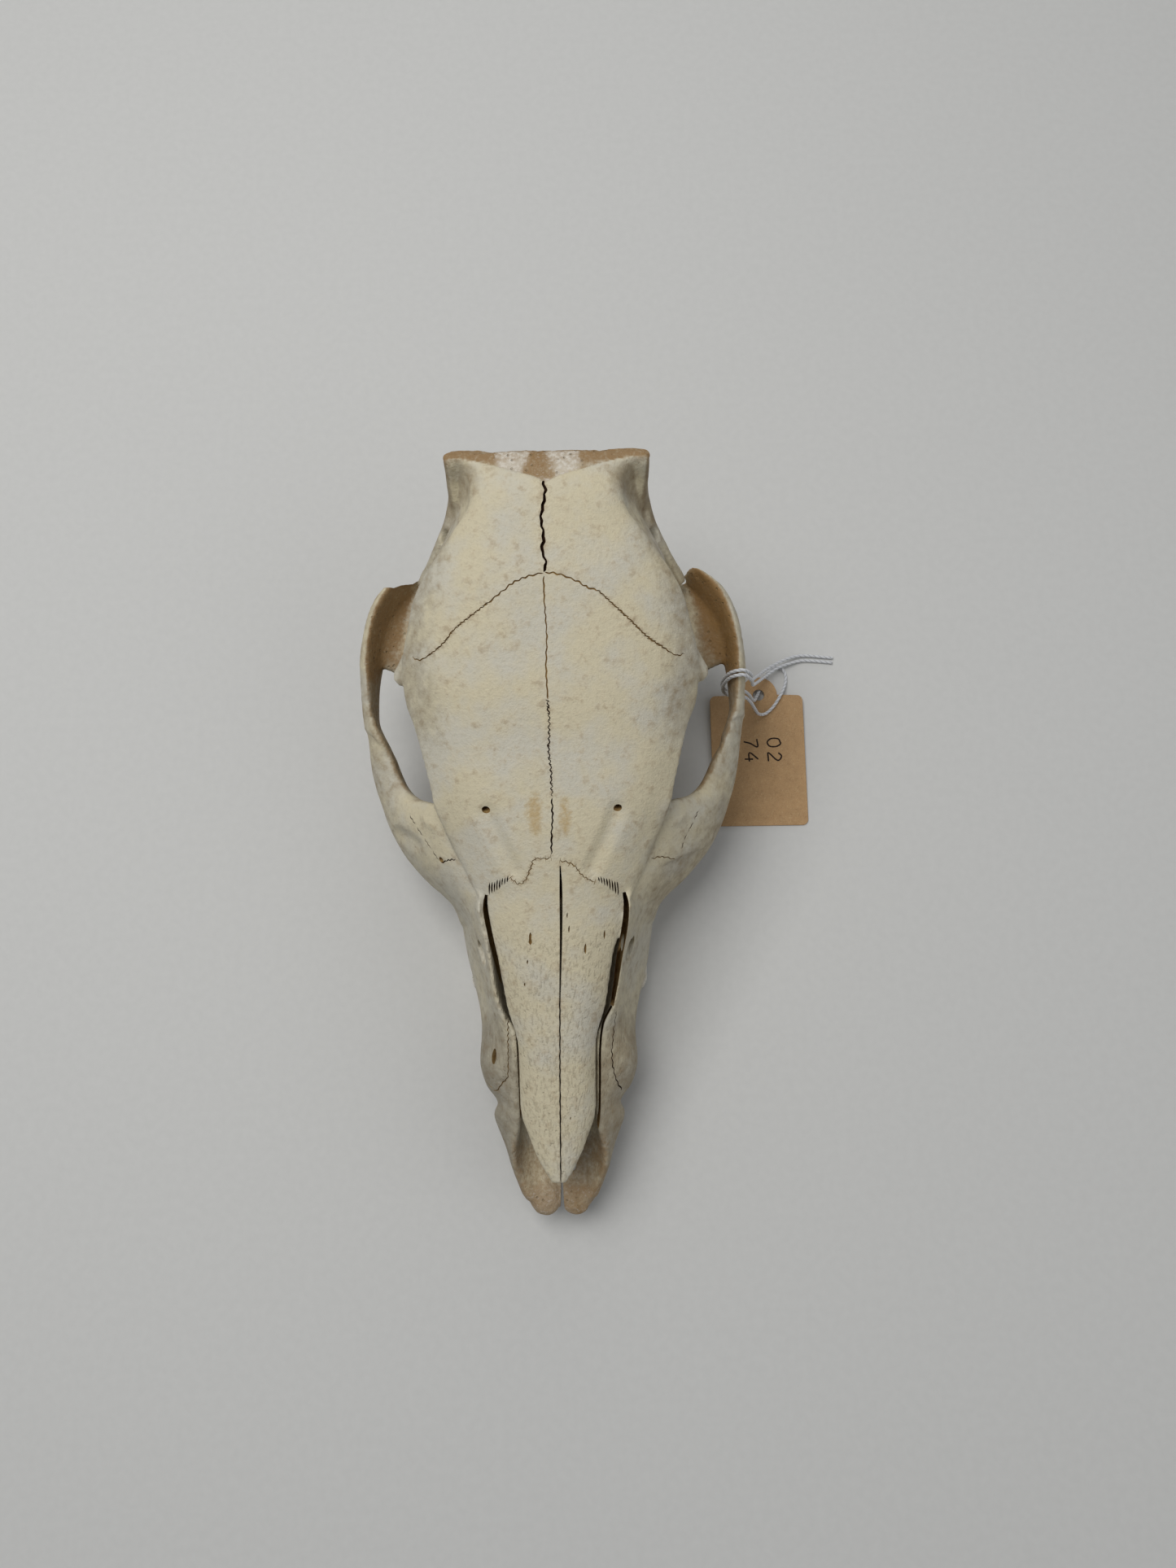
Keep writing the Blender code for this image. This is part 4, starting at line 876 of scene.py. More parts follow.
def raise_skin(tree, shader, *heights):
    """Bumps the skin by heights, each with its strength (negative sinks) and its depth in metres."""
    normal = None
    for height, strength, distance in heights:
        settings = {"Strength": abs(strength), "Distance": distance, "invert": strength < 0}
        bump = add_node(tree, "ShaderNodeBump", settings, {"Height": height})
        if normal:
            tree.links.new(normal, bump.inputs["Normal"])
        normal = bump.outputs["Normal"]
    tree.links.new(normal, shader.inputs["Normal"])


def bone_material(colours):
    """Cleaned and dried bone: a matt skin like eggshell, cream and blue-grey by turns, finely pored, with
    painted shade on its steep sides, under overhangs and in its hollows.
    """
    material, tree, shader = new_material("dried_bone", 0.62, {"Specular IOR Level": 0.3, "IOR": 1.5})
    place = object_place(tree)
    # Clouds 14 mm across, flecks of 3 mm, mottle of 1 mm and an eggshell grain of 0.5 mm.
    clouds = noise_at(tree, place, 70.0, 4.0, 0.55)
    flecks = noise_at(tree, place, 330.0, 5.0, 0.6)
    mottle = noise_at(tree, place, 950.0, 3.0, 0.6)
    grain = noise_at(tree, place, 2000.0, 2.0, 0.6)
    fibre = noise_at(tree, stretched(tree, place, (1.0, 0.22, 1.0)), 1500.0, 3.0)
    pores = add_node(tree, "ShaderNodeTexVoronoi", {"Scale": 620.0, "Randomness": 1.0}, {"Vector": place})

    def mask(name):
        return add_node(tree, "ShaderNodeAttribute", {"attribute_name": name}).outputs["Fac"]

    def ragged(name, pattern, spread, low, high):
        """A painted mask whose border is broken up by a pattern, as the edge of soaked-in earth is."""
        swing = span(tree, pattern, 0.3, 0.7, -spread, spread)
        added = add_node(tree, "ShaderNodeMath", {"operation": "ADD"}, {0: mask(name), 1: swing})
        return span(tree, added.outputs[0], low, high)

    def both(first, second):
        return add_node(tree, "ShaderNodeMath", {"operation": "MULTIPLY"}, {0: first, 1: second}).outputs[0]

    cloudy = span(tree, clouds, 0.42, 0.62, 0, 0.6)
    colour = blend_colours(tree, cloudy, colours["cream"], colours["cool"])
    colour = blend_colours(tree, span(tree, flecks, 0.5, 0.68, 0, 0.32), colour, colours["warm"])
    colour = blend_colours(tree, span(tree, mottle, 0.48, 0.72, 0, 0.26), colour, colours["dust"])
    # The grey and soil masks also lay painted shade on the steep sides and undersides, and the soil and
    # stain masks lay it in the hollows.
    for name, pattern, spread, low, high in (
        ("grey", flecks, 0.2, 0.05, 1.1), ("soil", flecks, 0.25, 0.1, 1.1),
        ("stain", mottle, 0.25, 0.12, 1.0), ("ochre", flecks, 0.3, 0.1, 1.2),
        ("patch", mottle, 0.3, 0.25, 1.1),
    ):
        colour = blend_colours(tree, ragged(name, pattern, spread, low, high), colour, colours[name])
    streaks = both(mask("fibrous"), span(tree, fibre, 0.52, 0.66))
    colour = blend_colours(tree, span(tree, streaks, 0, 1, 0, 0.3), colour, colours["soil"])
    colour = blend_colours(tree, ragged("chalk", mottle, 0.4, 0.3, 1.1), colour, colours["chalk"])
    colour = blend_colours(tree, span(tree, mask("edge"), 0.1, 1.0, 0, 0.55), colour, colours["chalk"])
    # Pores of 0.3 to 0.5 mm, only where the bone is open, drawn a little large so that they show.
    chance = add_node(tree, "ShaderNodeSeparateColor", None, {"Color": pores.outputs["Color"]})
    gate = span(tree, chance.outputs[0], 0.55, 0.6)
    holes = both(both(span(tree, pores.outputs["Distance"], 0.24, 0.12), gate), mask("porous"))
    colour = blend_colours(tree, span(tree, holes, 0, 1, 0, 0.4), colour, colours["pore"])
    tree.links.new(colour, shader.inputs["Base Color"])
    raise_skin(
        tree, shader, (grain, 0.45, 0.00022), (mottle, 0.5, 0.00035), (flecks, 0.4, 0.0006),
        (streaks, 0.5, 0.00025), (holes, -0.9, 0.0004),
    )
    tree.links.new(span(tree, mottle, 0.3, 0.7, 0.54, 0.72), shader.inputs["Roughness"])
    return material


def gap_material(name, dark, light):
    """The walls of open seams, where earth and dried tissue stay in the gap: dull and crumbly."""
    material, tree, shader = new_material(name, 0.85, {"Specular IOR Level": 0.2})
    flecks = noise_at(tree, object_place(tree), 700.0, 3.0)
    tone = blend_colours(tree, span(tree, flecks, 0.35, 0.65), dark, light)
    tree.links.new(tone, shader.inputs["Base Color"])
    raise_skin(tree, shader, (flecks, 0.5, 0.0003))
    return material


def enamel_material(colour):
    """Grown tooth enamel: glassy and pale on the crown, with faint upright lines and tan stains."""
    material, tree, shader = new_material("tooth_enamel", 0.28, {"IOR": 1.62, "Coat Weight": 0.15})
    place = object_place(tree)
    lines = noise_at(tree, stretched(tree, place, (1.0, 1.0, 0.25)), 900.0, 3.0)
    clouds = noise_at(tree, place, 240.0, 3.0)
    height = add_node(tree, "ShaderNodeSeparateXYZ", None, {"Vector": place}).outputs["Z"]
    tone = blend_colours(tree, span(tree, clouds, 0.45, 0.7, 0, 0.5), colour, linear("B7A27C"))
    # The root starts 4.5 to 7.5 mm above the ground on which the crowns stand.
    tone = blend_colours(tree, span(tree, height, 0.0045, 0.0075), tone, linear("B09A72"))
    tone = blend_colours(tree, span(tree, lines, 0.55, 0.75, 0, 0.3), tone, linear("8E7B5C"))
    tree.links.new(tone, shader.inputs["Base Color"])
    tree.links.new(span(tree, lines, 0.3, 0.7, 0.2, 0.42), shader.inputs["Roughness"])
    raise_skin(tree, shader, (lines, 0.25, 0.0002))
    return material


def card_material(colour):
    """Kraft card: rolled brown pulp, matt, with long fibres pressed in at all angles."""
    material, tree, shader = new_material("kraft_card", 0.86, {"Specular IOR Level": 0.25})
    place = object_place(tree)
    pulp = noise_at(tree, place, 260.0, 6.0, 0.65)
    tone = blend_colours(tree, span(tree, pulp, 0.35, 0.65), colour, tuple(c * 0.88 for c in colour))
    # Fibres 0.25 mm wide and 1.5 mm long in three directions.
    for turn in (0.3, 1.4, 2.5):
        turned = {"vector_type": "TEXTURE", "Rotation": (0, 0, turn), "Scale": (1.0, 6.0, 1.0)}
        along = add_node(tree, "ShaderNodeMapping", turned, {"Vector": place}).outputs["Vector"]
        fibres = noise_at(tree, along, 4200.0, 2.0)
        tone = blend_colours(tree, span(tree, fibres, 0.62, 0.74, 0, 0.3), tone, linear("DCC49C"))
        tone = blend_colours(tree, span(tree, fibres, 0.38, 0.28, 0, 0.3), tone, linear("7A5A38"))
    tree.links.new(tone, shader.inputs["Base Color"])
    raise_skin(tree, shader, (fibres, 0.3, 0.0002))
    return material


def ink_material():
    """Felt-pen ink soaked into card: nearly black brown, dull, thinner where the pen ran dry."""
    material, tree, shader = new_material("felt_pen_ink", 0.75, {"Specular IOR Level": 0.2})
    dry = span(tree, noise_at(tree, object_place(tree), 1100.0, 3.0), 0.45, 0.75, 0, 0.6)
    tone = blend_colours(tree, dry, linear("1E1512"), linear("5A4330"))
    tree.links.new(tone, shader.inputs["Base Color"])
    return material


def cotton_material(colour):
    """Two-ply cotton string: bleached spun fibre, soft and matt with a faint sheen of loose hairs, and
    painted shade in the grooves between the plies.
    """
    material, tree, shader = new_material("spun_cotton", 0.9, {"Sheen Weight": 0.4, "Sheen Roughness": 0.5})
    ply = add_node(tree, "ShaderNodeAttribute", {"attribute_name": "ply"}).outputs["Fac"]
    fibres = noise_at(tree, object_place(tree), 2600.0, 3.0)
    # Darker grey where ply is low, in the grooves between the two plies: painted shade.
    tone = blend_colours(tree, span(tree, ply, 0.0, 0.7), linear("A3A4A6"), colour)
    tone = blend_colours(tree, span(tree, fibres, 0.5, 0.7, 0, 0.5), tone, linear("B4B5B7"))
    tree.links.new(tone, shader.inputs["Base Color"])
    raise_skin(tree, shader, (fibres, 0.6, 0.0002))
    return material


def floor_material(colour):
    """Matt painted board: an even pale coat with the faintest roller stipple."""
    material, tree, shader = new_material("painted_board", 0.7, {"Specular IOR Level": 0.3})
    share = span(tree, noise_at(tree, object_place(tree), 400.0, 2.0), 0.3, 0.7)
    tone = blend_colours(tree, share, colour, tuple(c * 0.97 for c in colour))
    tree.links.new(tone, shader.inputs["Base Color"])
    return material


def bone_shells():
    """Every overlapping shell of the cranium, in one mesh."""
    mesh = bmesh.new()
    skin(mesh, section_rings(VAULT, 6, 6))
    skin(mesh, section_rings(SNOUT, 6, 5))
    skin(mesh, section_rings(NASALS, 6, 6))
    for limb in (BASE_BAR, VOMER, PALATE_REAR):
        skin(mesh, limb_rings(limb))
    paired = (
        SQUAMOSAL_SHELF, TEMPORAL_CREST, CREST_WING, WING_EDGE, BROW_KNOB, LACRIMAL,
        JUGULAR_PROCESS, BULLA, CONDYLE, PTERYGOID, HAMULUS, PARIETAL_BASE,
    )
    for side in (1, -1):
        skin(mesh, section_rings(CHEEK_ARCH, 6, 5, mirrored=False, side=side))
        for limb in paired:
            skin(mesh, limb_rings(limb, side=side))
        add_ball(mesh, *INCISIVE_LOBE, side=side)
    return mesh


def hollow_cutter():
    """The brain cavity, the larger foramina and the empty sockets."""
    mesh = bmesh.new()
    skin(mesh, limb_rings(FORAMEN_MAGNUM, corners=28))
    for side in (1, -1):
        for limb in (INFRAORBITAL, EAR_CANAL, CANINE_SOCKET):
            skin(mesh, limb_rings(limb, side=side))
        add_ball(mesh, *OCCIPUT_HOLLOW, side=side)
        add_ball(mesh, *LACRIMAL_HOLLOW, side=side)
        add_ball(mesh, *PALATINE_FISSURE, side=side)
        for socket in INCISOR_SOCKETS:
            add_ball(mesh, *socket, side=side)
    return finish_mesh("hollows", mesh)


def slot_cutter(wall):
    """The open slots beside the nasal bones, the slit at the snout's tip and the small foramina."""
    mesh = bmesh.new()
    for stations, side in (
        (SLOT_RIGHT, 1), (SLOT_LEFT, 1), (SLOT_FRONT_RIGHT, 1), (SLOT_FRONT_LEFT, 1), (NASAL_SEAM, 1),
        (TIP_SLIT, 1), (CANINE_WINDOW, 1), (SUPRAORBITAL, 1), (SUPRAORBITAL, -1), (LACRIMAL_HOLE, 1),
    ):
        skin(mesh, limb_rings(stations, along=6, corners=12, side=side))
    return finish_mesh("slots", mesh, wall)


def suture_cutters(roof, dark, tan):
    """Wedges along the sutures, in four sets: gaping and nearly closed ones, and the teeth of both."""
    mesh = bmesh.new()
    groove(mesh, roof, SAGITTAL, 0.7, 1.3, swing=0.25, pitch=2.6, seed=1)
    groove(mesh, roof, INTERFRONTAL_MIDDLE, 0.3, 0.6, swing=0.4, pitch=1.5, seed=3)
    groove(mesh, roof, NASAL_FRONT, 0.34, 1.2, swing=0.08, pitch=3, seed=9)
    groove(mesh, roof, PREMAXILLA_RIGHT, 0.34, 0.8, swing=0.25, pitch=2, seed=11)
    groove(mesh, roof, LACRIMAL_BRANCH_LEFT, 0.3, 0.6, swing=0.25, pitch=1.2, seed=12)
    gaping = finish_mesh("gaping_sutures", mesh, dark)
    mesh = bmesh.new()
    stitch(mesh, roof, INTERFRONTAL_MIDDLE, 1.1, 0.34, 0.6, 1.5, 62, 40)
    groove(mesh, roof, INTERFRONTAL_FRONT, 0.42, 0.8, swing=0.2, pitch=1.8, seed=4)
    for line, seed in ((LACRIMAL_EDGE_LEFT, 14), (LACRIMAL_EDGE_RIGHT, 15)):
        for first in range(len(line) - 1):
            a, b = np.array(line[first]), np.array(line[first + 1])
            dash = [a + (b - a) * share for share in (0.08, 0.3, 0.62, 0.8)]
            groove(mesh, roof, dash, 0.26, 0.5, 0.15, 1.4, seed + 3 * first)
    chance = np.random.default_rng(10)
    for side in (-1, 1):
        for index in range(8):
            x = side * (17.1 - 0.72 * index)
            y = -11.6 + 0.3 * index + chance.uniform(-0.3, 0.3)
            long = 3.2 - 0.27 * index + chance.uniform(-0.3, 0.3)
            line = [(x, y - long / 2), (x - side * 0.1, y), (x - side * 0.3, y + long / 2)]
            groove(mesh, roof, line, 0.4, 1.1, seed=20 + index)
    teeth = finish_mesh("gaping_teeth", mesh, dark)
    mesh = bmesh.new()
    groove(mesh, roof, INTERFRONTAL_REAR, 0.4, 0.4, swing=0.15, pitch=2.6, seed=2)
    for side, line in enumerate((CORONAL_LEFT_INNER, CORONAL_RIGHT_INNER)):
        groove(mesh, roof, line, 0.42, 0.4, swing=0.3, pitch=2.2, seed=5 + side)
    for side, line in enumerate((CORONAL_LEFT_OUTER, CORONAL_RIGHT_OUTER)):
        groove(mesh, roof, line, 0.3, 0.45, swing=0.2, pitch=1.6, seed=16 + side)
    for side, line in enumerate((FRONTONASAL_LEFT, FRONTONASAL_RIGHT)):
        groove(mesh, roof, line, 0.26, 0.4, swing=0.3, pitch=1.4, seed=7 + side)
    groove(mesh, roof, PREMAXILLA_LEFT, 0.3, 0.5, swing=0.25, pitch=1.6, seed=18)
    groove(mesh, roof, LACRIMAL_BRANCH_RIGHT, 0.26, 0.4, swing=0.25, pitch=1.6, seed=19)
    for index, (x, y, long, wide) in enumerate(NASAL_SLITS):
        groove(mesh, roof, [(x, y - long / 2), (x, y), (x + 0.1, y + long / 2)], wide, 0.8, seed=90 + index)
    closed = finish_mesh("closed_sutures", mesh, tan)
    mesh = bmesh.new()
    for side, line in enumerate((CORONAL_LEFT_OUTER, CORONAL_RIGHT_OUTER)):
        stitch(mesh, roof, line[:-2], 1.5, 0.32, 0.5, 1.0, 28 if side else -28, 70 + 40 * side)
    for side, line in enumerate((FRONTONASAL_LEFT, FRONTONASAL_RIGHT)):
        stitch(mesh, roof, line, 1.5, 0.16, 0.16, 1.3, 84, 150 + 30 * side)
    return gaping, teeth, closed, finish_mesh("closed_teeth", mesh, tan)


def break_cutter(bone):
    """The piece missing behind the left squamosal shelf, as an upright prism."""
    mesh = bmesh.new()
    skin(mesh, [[(x, y + shift, z) for x, y in LEFT_BREAK] for z, shift in LEFT_BREAK_SHIFTS])
    return finish_mesh("break", mesh, bone)


def socket_and_floor_cutters(bone):
    """The sockets of the cheek teeth, and everything below the surface that the skull stands on."""
    sockets = bmesh.new()
    for side in (1, -1):
        for _, *size in CHEEK_TEETH:
            skin(sockets, tooth_rings(*size, side, grow=0.3))
    under = bmesh.new()
    place = Matrix.Translation(Vector((0, 0, -20)) * MM) @ Matrix.Diagonal((0.16, 0.24, 0.04, 1))
    bmesh.ops.create_cube(under, size=1, matrix=place)
    return finish_mesh("sockets", sockets, bone), finish_mesh("under", under, bone)


def behind_roof(points):
    """How far points lie behind the rear end of the parietals' roof, in millimetres."""
    wide, ends = np.array(PARIETAL_END).T
    return points[:, 1] - np.interp(np.abs(points[:, 0]), wide, ends)


def roughen(thing):
    """Moves the bone's skin in and out: steps and creases, broad undulation, ragged rims and crests."""
    points, normals = points_of(thing.data)
    x, y, z = points.T
    up = rise(normals[:, 2], 0.05, 0.4)
    push = 0.16 * rumple(points, 9, 1) + 0.05 * rumple(points, 2.6, 2)
    push -= up * 0.7 * rise(behind_roof(points), -0.2, 0.5) * rise(z, 70, 80)
    for side, line in ((-1, FRONTAL_EDGE_LEFT), (1, FRONTAL_EDGE_RIGHT)):
        push -= side * 0.36 * up * step_at(points, line, 4, 0.4)
        furrow = [(side * across, along) for across, along in BROW_FURROW]
        push -= up * 1.0 * near_line(points, furrow, 3.4) * rise(z, 50, 56)
    push -= up * 0.8 * near_line(points, JUGAL_CREASE_LEFT, 2.4)
    push += up * 0.4 * step_at(points, JUGAL_EDGE_RIGHT, 5, 0.4)
    push += 0.35 * step_at(points, ARCH_STEP_LEFT, 5, 0.5) - 0.35 * step_at(points, ARCH_STEP_RIGHT, 5, 0.5)
    push -= up * 0.5 * near_line(points, PREMAXILLA_LEFT[3:], 1.4)
    rims = np.maximum.reduce([
        rise(y, 74, 77) * (np.abs(x) > 36) * rise(z, 34, 38), rise(y, 95, 97), rise(-y, 90, 94),
    ])
    arch = rise(np.abs(x), 42, 47) * rise(z, 36, 42)
    push += (0.26 * rims + 0.12 * arch) * rumple(points, 1.5, 3)
    points += normals * push[:, None]
    thing.data.vertices.foreach_set("co", (points * MM).astype(np.float32).ravel())
    thing.data.update()


def bend_of(data, points, normals):
    """How hollow the skin is at each point, negative where it bulges, averaged over its neighbours."""
    edges = np.empty(len(data.edges) * 2, np.int32)
    data.edges.foreach_get("vertices", edges)
    first, second = edges.reshape(-1, 2).T
    count = np.bincount(first, minlength=len(points)) + np.bincount(second, minlength=len(points))
    gap = points[second] - points[first]
    long = np.linalg.norm(gap, axis=1) + 1e-6
    bend = np.zeros(len(points))
    np.add.at(bend, first, (gap * normals[first]).sum(1) / long)
    np.add.at(bend, second, -(gap * normals[second]).sum(1) / long)
    bend /= np.maximum(count, 1)
    for _ in range(3):
        spread = np.zeros(len(points))
        np.add.at(spread, first, bend[second])
        np.add.at(spread, second, bend[first])
        bend = 0.4 * bend + 0.6 * spread / np.maximum(count, 1)
    return bend


def paint_bone(thing):
    """Stores on each point how grey, soiled, stained, chalky, porous and worn the bone is there, and where
    painted shade darkens it: on steep and outward-facing sides, under overhangs and in hollows.
    """
    points, normals = points_of(thing.data)
    x, y, z = points.T
    wide, side = np.abs(x), np.sign(x)
    out, up = normals[:, 0] * side, normals[:, 2]
    # How hollow the skin is. The hollows are darkened as painted shade through the soiling and the
    # staining.
    bend = bend_of(thing.data, points, normals)
    lumps = rumple(points, 5, 4)
    # Steep faces are darkened as painted shade, through slope and the side masks below.
    slope = 1 - rise(up, 0.25, 0.85)
    shelf = rise(wide, 33, 37) * rise(y, 46, 52) * (1 - rise(y, 80, 82))
    shelf *= rise(-out, -0.45, 0.05) * rise(up, -0.2, 0.2)
    inner = rise(wide, 38, 42) * rise(y, 6, 14) * rise(-out, 0.0, 0.35)
    naris = rise(-y, 73, 80) * (1 - rise(z, 24, 30)) * rise(up, -0.2, 0.4) * (1 - rise(wide, 12.4, 14))
    tip = rise(-y, 89, 93) * (1 - rise(z, 18, 22))
    behind = rise(behind_roof(points), -0.1, 0.6) * rise(z, 74, 80)
    rear = rise(y, 94, 96.5) * rise(z, 60, 70)
    seams = np.maximum.reduce([
        near_line(points, line, reach) * rise(up, 0.2, 0.6) for line, reach in (
            (SAGITTAL, 1.2), (CORONAL_LEFT_OUTER, 1.1), (CORONAL_RIGHT_OUTER, 1.1), (NASAL_FRONT, 0.9),
            (INTERFRONTAL_MIDDLE, 1.0), (FRONTONASAL_LEFT, 1.6), (FRONTONASAL_RIGHT, 1.6),
        )
    ])
    patches = np.maximum(
        blob(points, (-4.4, 6.6, 65), (1.9, 6.2, 6), 0.3), blob(points, (3.4, 6.2, 65), (1.5, 5.4, 6), 0.3)
    )
    # Faces turned downwards are darkened as painted shade under overhangs.
    below = rise(-up, 0.1, 0.8)
    # The malar, cheek, snout, temple and wing masks darken steep and outward-facing sides. This is partly
    # the bone's greyer tone on the left and browner tone on the right, and partly painted shade.
    malar = rise(wide, 24, 28) * (1 - rise(y, 12, 18)) * rise(y, -22, -12) * slope
    cheek = rise(-y, 8, 16) * rise(wide, 12, 14.5) * slope
    snout = rise(-y, 40, 50) * rise(wide, 9.5, 11.5) * (1 - rise(z, 34, 38))
    temple = rise(wide, 22, 27) * rise(y, 18, 30) * rise(out, 0.3, 0.7) * (1 - rise(wide, 40, 42))
    wing = rise(y, 84, 90) * rise(out, 0.2, 0.6)
    chalk = behind * rise(x, -14, -12) * (1 - rise(x, 7.7, 9.7)) * (1 - rise(y, 97.6, 98.4))
    narrowing = 0.9 * np.clip(y - 88, 0, 9) * 0.4
    wedge = rise(y, 88, 90) * (1 - rise(np.abs(x + 2.2) + narrowing, 4.6, 6)) * behind
    left, right = x < 0, x > 0
    masks = {
        # Greying: a greyer tone on the left, with painted shade on the steep sides.
        "grey": 0.3 * malar * left + 0.32 * temple * left + 0.5 * snout * left + 0.25 * cheek + 0.25 * snout
        + 0.12 * slope,
        # Soil on the right, on the inner faces of the arches and on the wings, with painted shade on steep
        # and outward sides, under overhangs and in hollows.
        "soil": 0.5 * malar * right + 0.4 * temple * right + 0.6 * snout * right + 0.35 * snout * left
        + 0.25 * temple * left + 0.5 * wing + 0.2 * wing * right + 0.25 * below + 0.3 * inner
        + 0.3 * rise(wide, 40, 44) * rise(y, 10, 20) + 0.1 * slope + 0.25 * rise(bend, 0.08, 0.3),
        # Earth stains in the shelves, nostrils, tip and rear and along the sutures, with painted shade in
        # hollows.
        "stain": 0.55 * shelf + 0.5 * inner + 0.55 * naris + 0.3 * tip + 0.7 * behind + 0.6 * rear
        + 0.32 * seams + 0.2 * wedge + 0.2 * rise(bend, 0.1, 0.35),
        "ochre": 0.5 * (shelf + 0.8 * inner) * right + 0.3 * naris * right + 0.1 * tip + 0.15 * behind
        + 0.3 * wedge + 0.2 * shelf * left,
        "chalk": 0.85 * chalk * (1 - 0.8 * wedge) + 0.3 * tip + 0.25 * rise(wide, 50, 53) * rise(z, 44, 50),
        "porous": 0.08 + 0.28 * rise(-y, 20, 50) * rise(z, 28, 34) + 0.7 * (behind + rear + tip + shelf)
        + 0.3 * malar,
        "fibrous": rise(-y, 14, 30) * rise(z, 26, 32) + 0.8 * snout + 0.5 * naris,
        "edge": rise(-bend, 0.14, 0.42) * (0.5 + 0.5 * lumps)
        + 0.8 * rise(wide, 46, 50) * rise(-bend, 0.1, 0.3),
        "patch": patches,
    }
    # Uneven soil and painted shade on the steep sides.
    masks["soil"] += 0.15 * lumps * slope
    for name, values in masks.items():
        layer = thing.data.attributes.new(name, "FLOAT", "POINT")
        layer.data.foreach_set("value", np.clip(values, 0, 1).astype(np.float32))


def tooth_rings(x, y, half_width, half_length, side, grow=0.0, corners=32):
    """Rings round a cheek tooth, from its worn crown up to its root."""
    rings = []
    for z, share in TOOTH_OUTLINE:
        low = z == TOOTH_OUTLINE[0][0]
        ring = []
        for corner in range(corners):
            angle = 2 * math.pi * corner / corners
            bulge = 1 + 0.1 * abs(math.sin(2 * angle))
            ring.append((
                side * x + bulge * math.cos(angle) * (half_width * share + grow),
                y + bulge * math.sin(angle) * (half_length * share + grow),
                (z - 3 if low else z) if grow else z,
            ))
        rings.append(ring)
    return rings


def crown_rings(x, y, half_width, half_length, side, corners=32):
    """Rings across the worn biting face, with two pairs of blunt cusps."""
    rings = []
    for share in (0.06, 0.2, 0.34, 0.48, 0.6):
        ring = []
        for corner in range(corners):
            angle = 2 * math.pi * corner / corners
            bulge = 1 + 0.1 * abs(math.sin(2 * angle))
            across, along = bulge * math.cos(angle) * share, bulge * math.sin(angle) * share
            cusp = max(
                math.exp(-((across - a) ** 2 + (along - b) ** 2) / 0.045)
                for a in (-0.36, 0.36) for b in (-0.4, 0.4)
            )
            ring.append((side * x + across * half_width, y + along * half_length, 1.1 * (1 - cusp)))
        rings.append(ring)
    return rings


def box_outline(steps):
    """The outline of the tag, a card with round corners and a round tab."""
    half_tab = math.degrees(math.asin(0.1 / TAG_TAB_RADIUS))
    arcs = [
        ((TAG_LEFT, TAG_FOOT), (1, 1), TAG_CORNER_RADIUS, 180, 270),
        ((TAG_RIGHT, TAG_FOOT), (-1, 1), TAG_CORNER_RADIUS, 270, 360),
        ((TAG_RIGHT, TAG_HEAD), (-1, -1), TAG_CORNER_RADIUS, 0, 90),
        (TAG_TAB_CENTRE, (0, 0), TAG_TAB_RADIUS, half_tab, 180 - half_tab),
        ((TAG_LEFT, TAG_HEAD), (1, -1), TAG_CORNER_RADIUS, 90, 180),
    ]
    outline = []
    for (x, y), (right, up), radius, start, end in arcs:
        count = steps if radius == TAG_CORNER_RADIUS else 4 * steps
        for angle in np.radians(np.linspace(start, end, count)):
            outline.append((x + radius * (right + math.cos(angle)), y + radius * (up + math.sin(angle))))
    return outline


class SkullSettings(bpy.types.PropertyGroup):
    voxel: FloatProperty(
        name="Detail", description="Size in millimetres of the cells in which the bone's shells are joined",
        default=0.6, min=0.3, max=2,
    )
    triangles: IntProperty(
        name="Triangles", description="About how many triangles the bone has", default=160000, min=20000,
    )
    cream: FloatVectorProperty(
        name="Cream", description="Colour of clean bone", default=linear("D3C8AA"), subtype="COLOR",
    )
    # The grey colour also lays painted shade on the bone's steep and outward-facing sides.
    grey: FloatVectorProperty(
        name="Grey", description="Colour of the cooler, denser bone",
        default=linear("9E998A"), subtype="COLOR",
    )
    # The stain colour also lays painted shade in the bone's hollows.
    stain: FloatVectorProperty(
        name="Stain", description="Colour of bone stained by earth",
        default=linear("977B57"), subtype="COLOR",
    )


class ToothSettings(bpy.types.PropertyGroup):
    enamel: FloatVectorProperty(
        name="Enamel", description="Colour of the crowns", default=linear("E4DECF"), subtype="COLOR",
    )


class TagSettings(bpy.types.PropertyGroup):
    card: FloatVectorProperty(
        name="Card", description="Colour of the kraft card", default=linear("BD996F"), subtype="COLOR",
    )
    number: StringProperty(name="Number", description="Digits written on the card", default="0 2 7 4")
    pen: FloatProperty(
        name="Pen", description="Width of a pen stroke", default=0.0005, unit="LENGTH",
    )


class StringSettings(bpy.types.PropertyGroup):
    diameter: FloatProperty(
        name="Diameter", description="Thickness of the string", default=0.001, unit="LENGTH",
    )
    twist: FloatProperty(
        name="Twist", description="Length of one full turn of the two plies", default=0.0034, unit="LENGTH",
    )
    cotton: FloatVectorProperty(
        name="Cotton", description="Colour of the string", default=linear("DCDDDE"), subtype="COLOR",
    )


class StageSettings(bpy.types.PropertyGroup):
    floor: FloatVectorProperty(
        name="Floor", description="Colour of the floor", default=linear("D2D1CD"), subtype="COLOR",
    )
    light: FloatProperty(
        name="Light", description="Power of the main soft light in watts", default=5.4, min=0,
    )


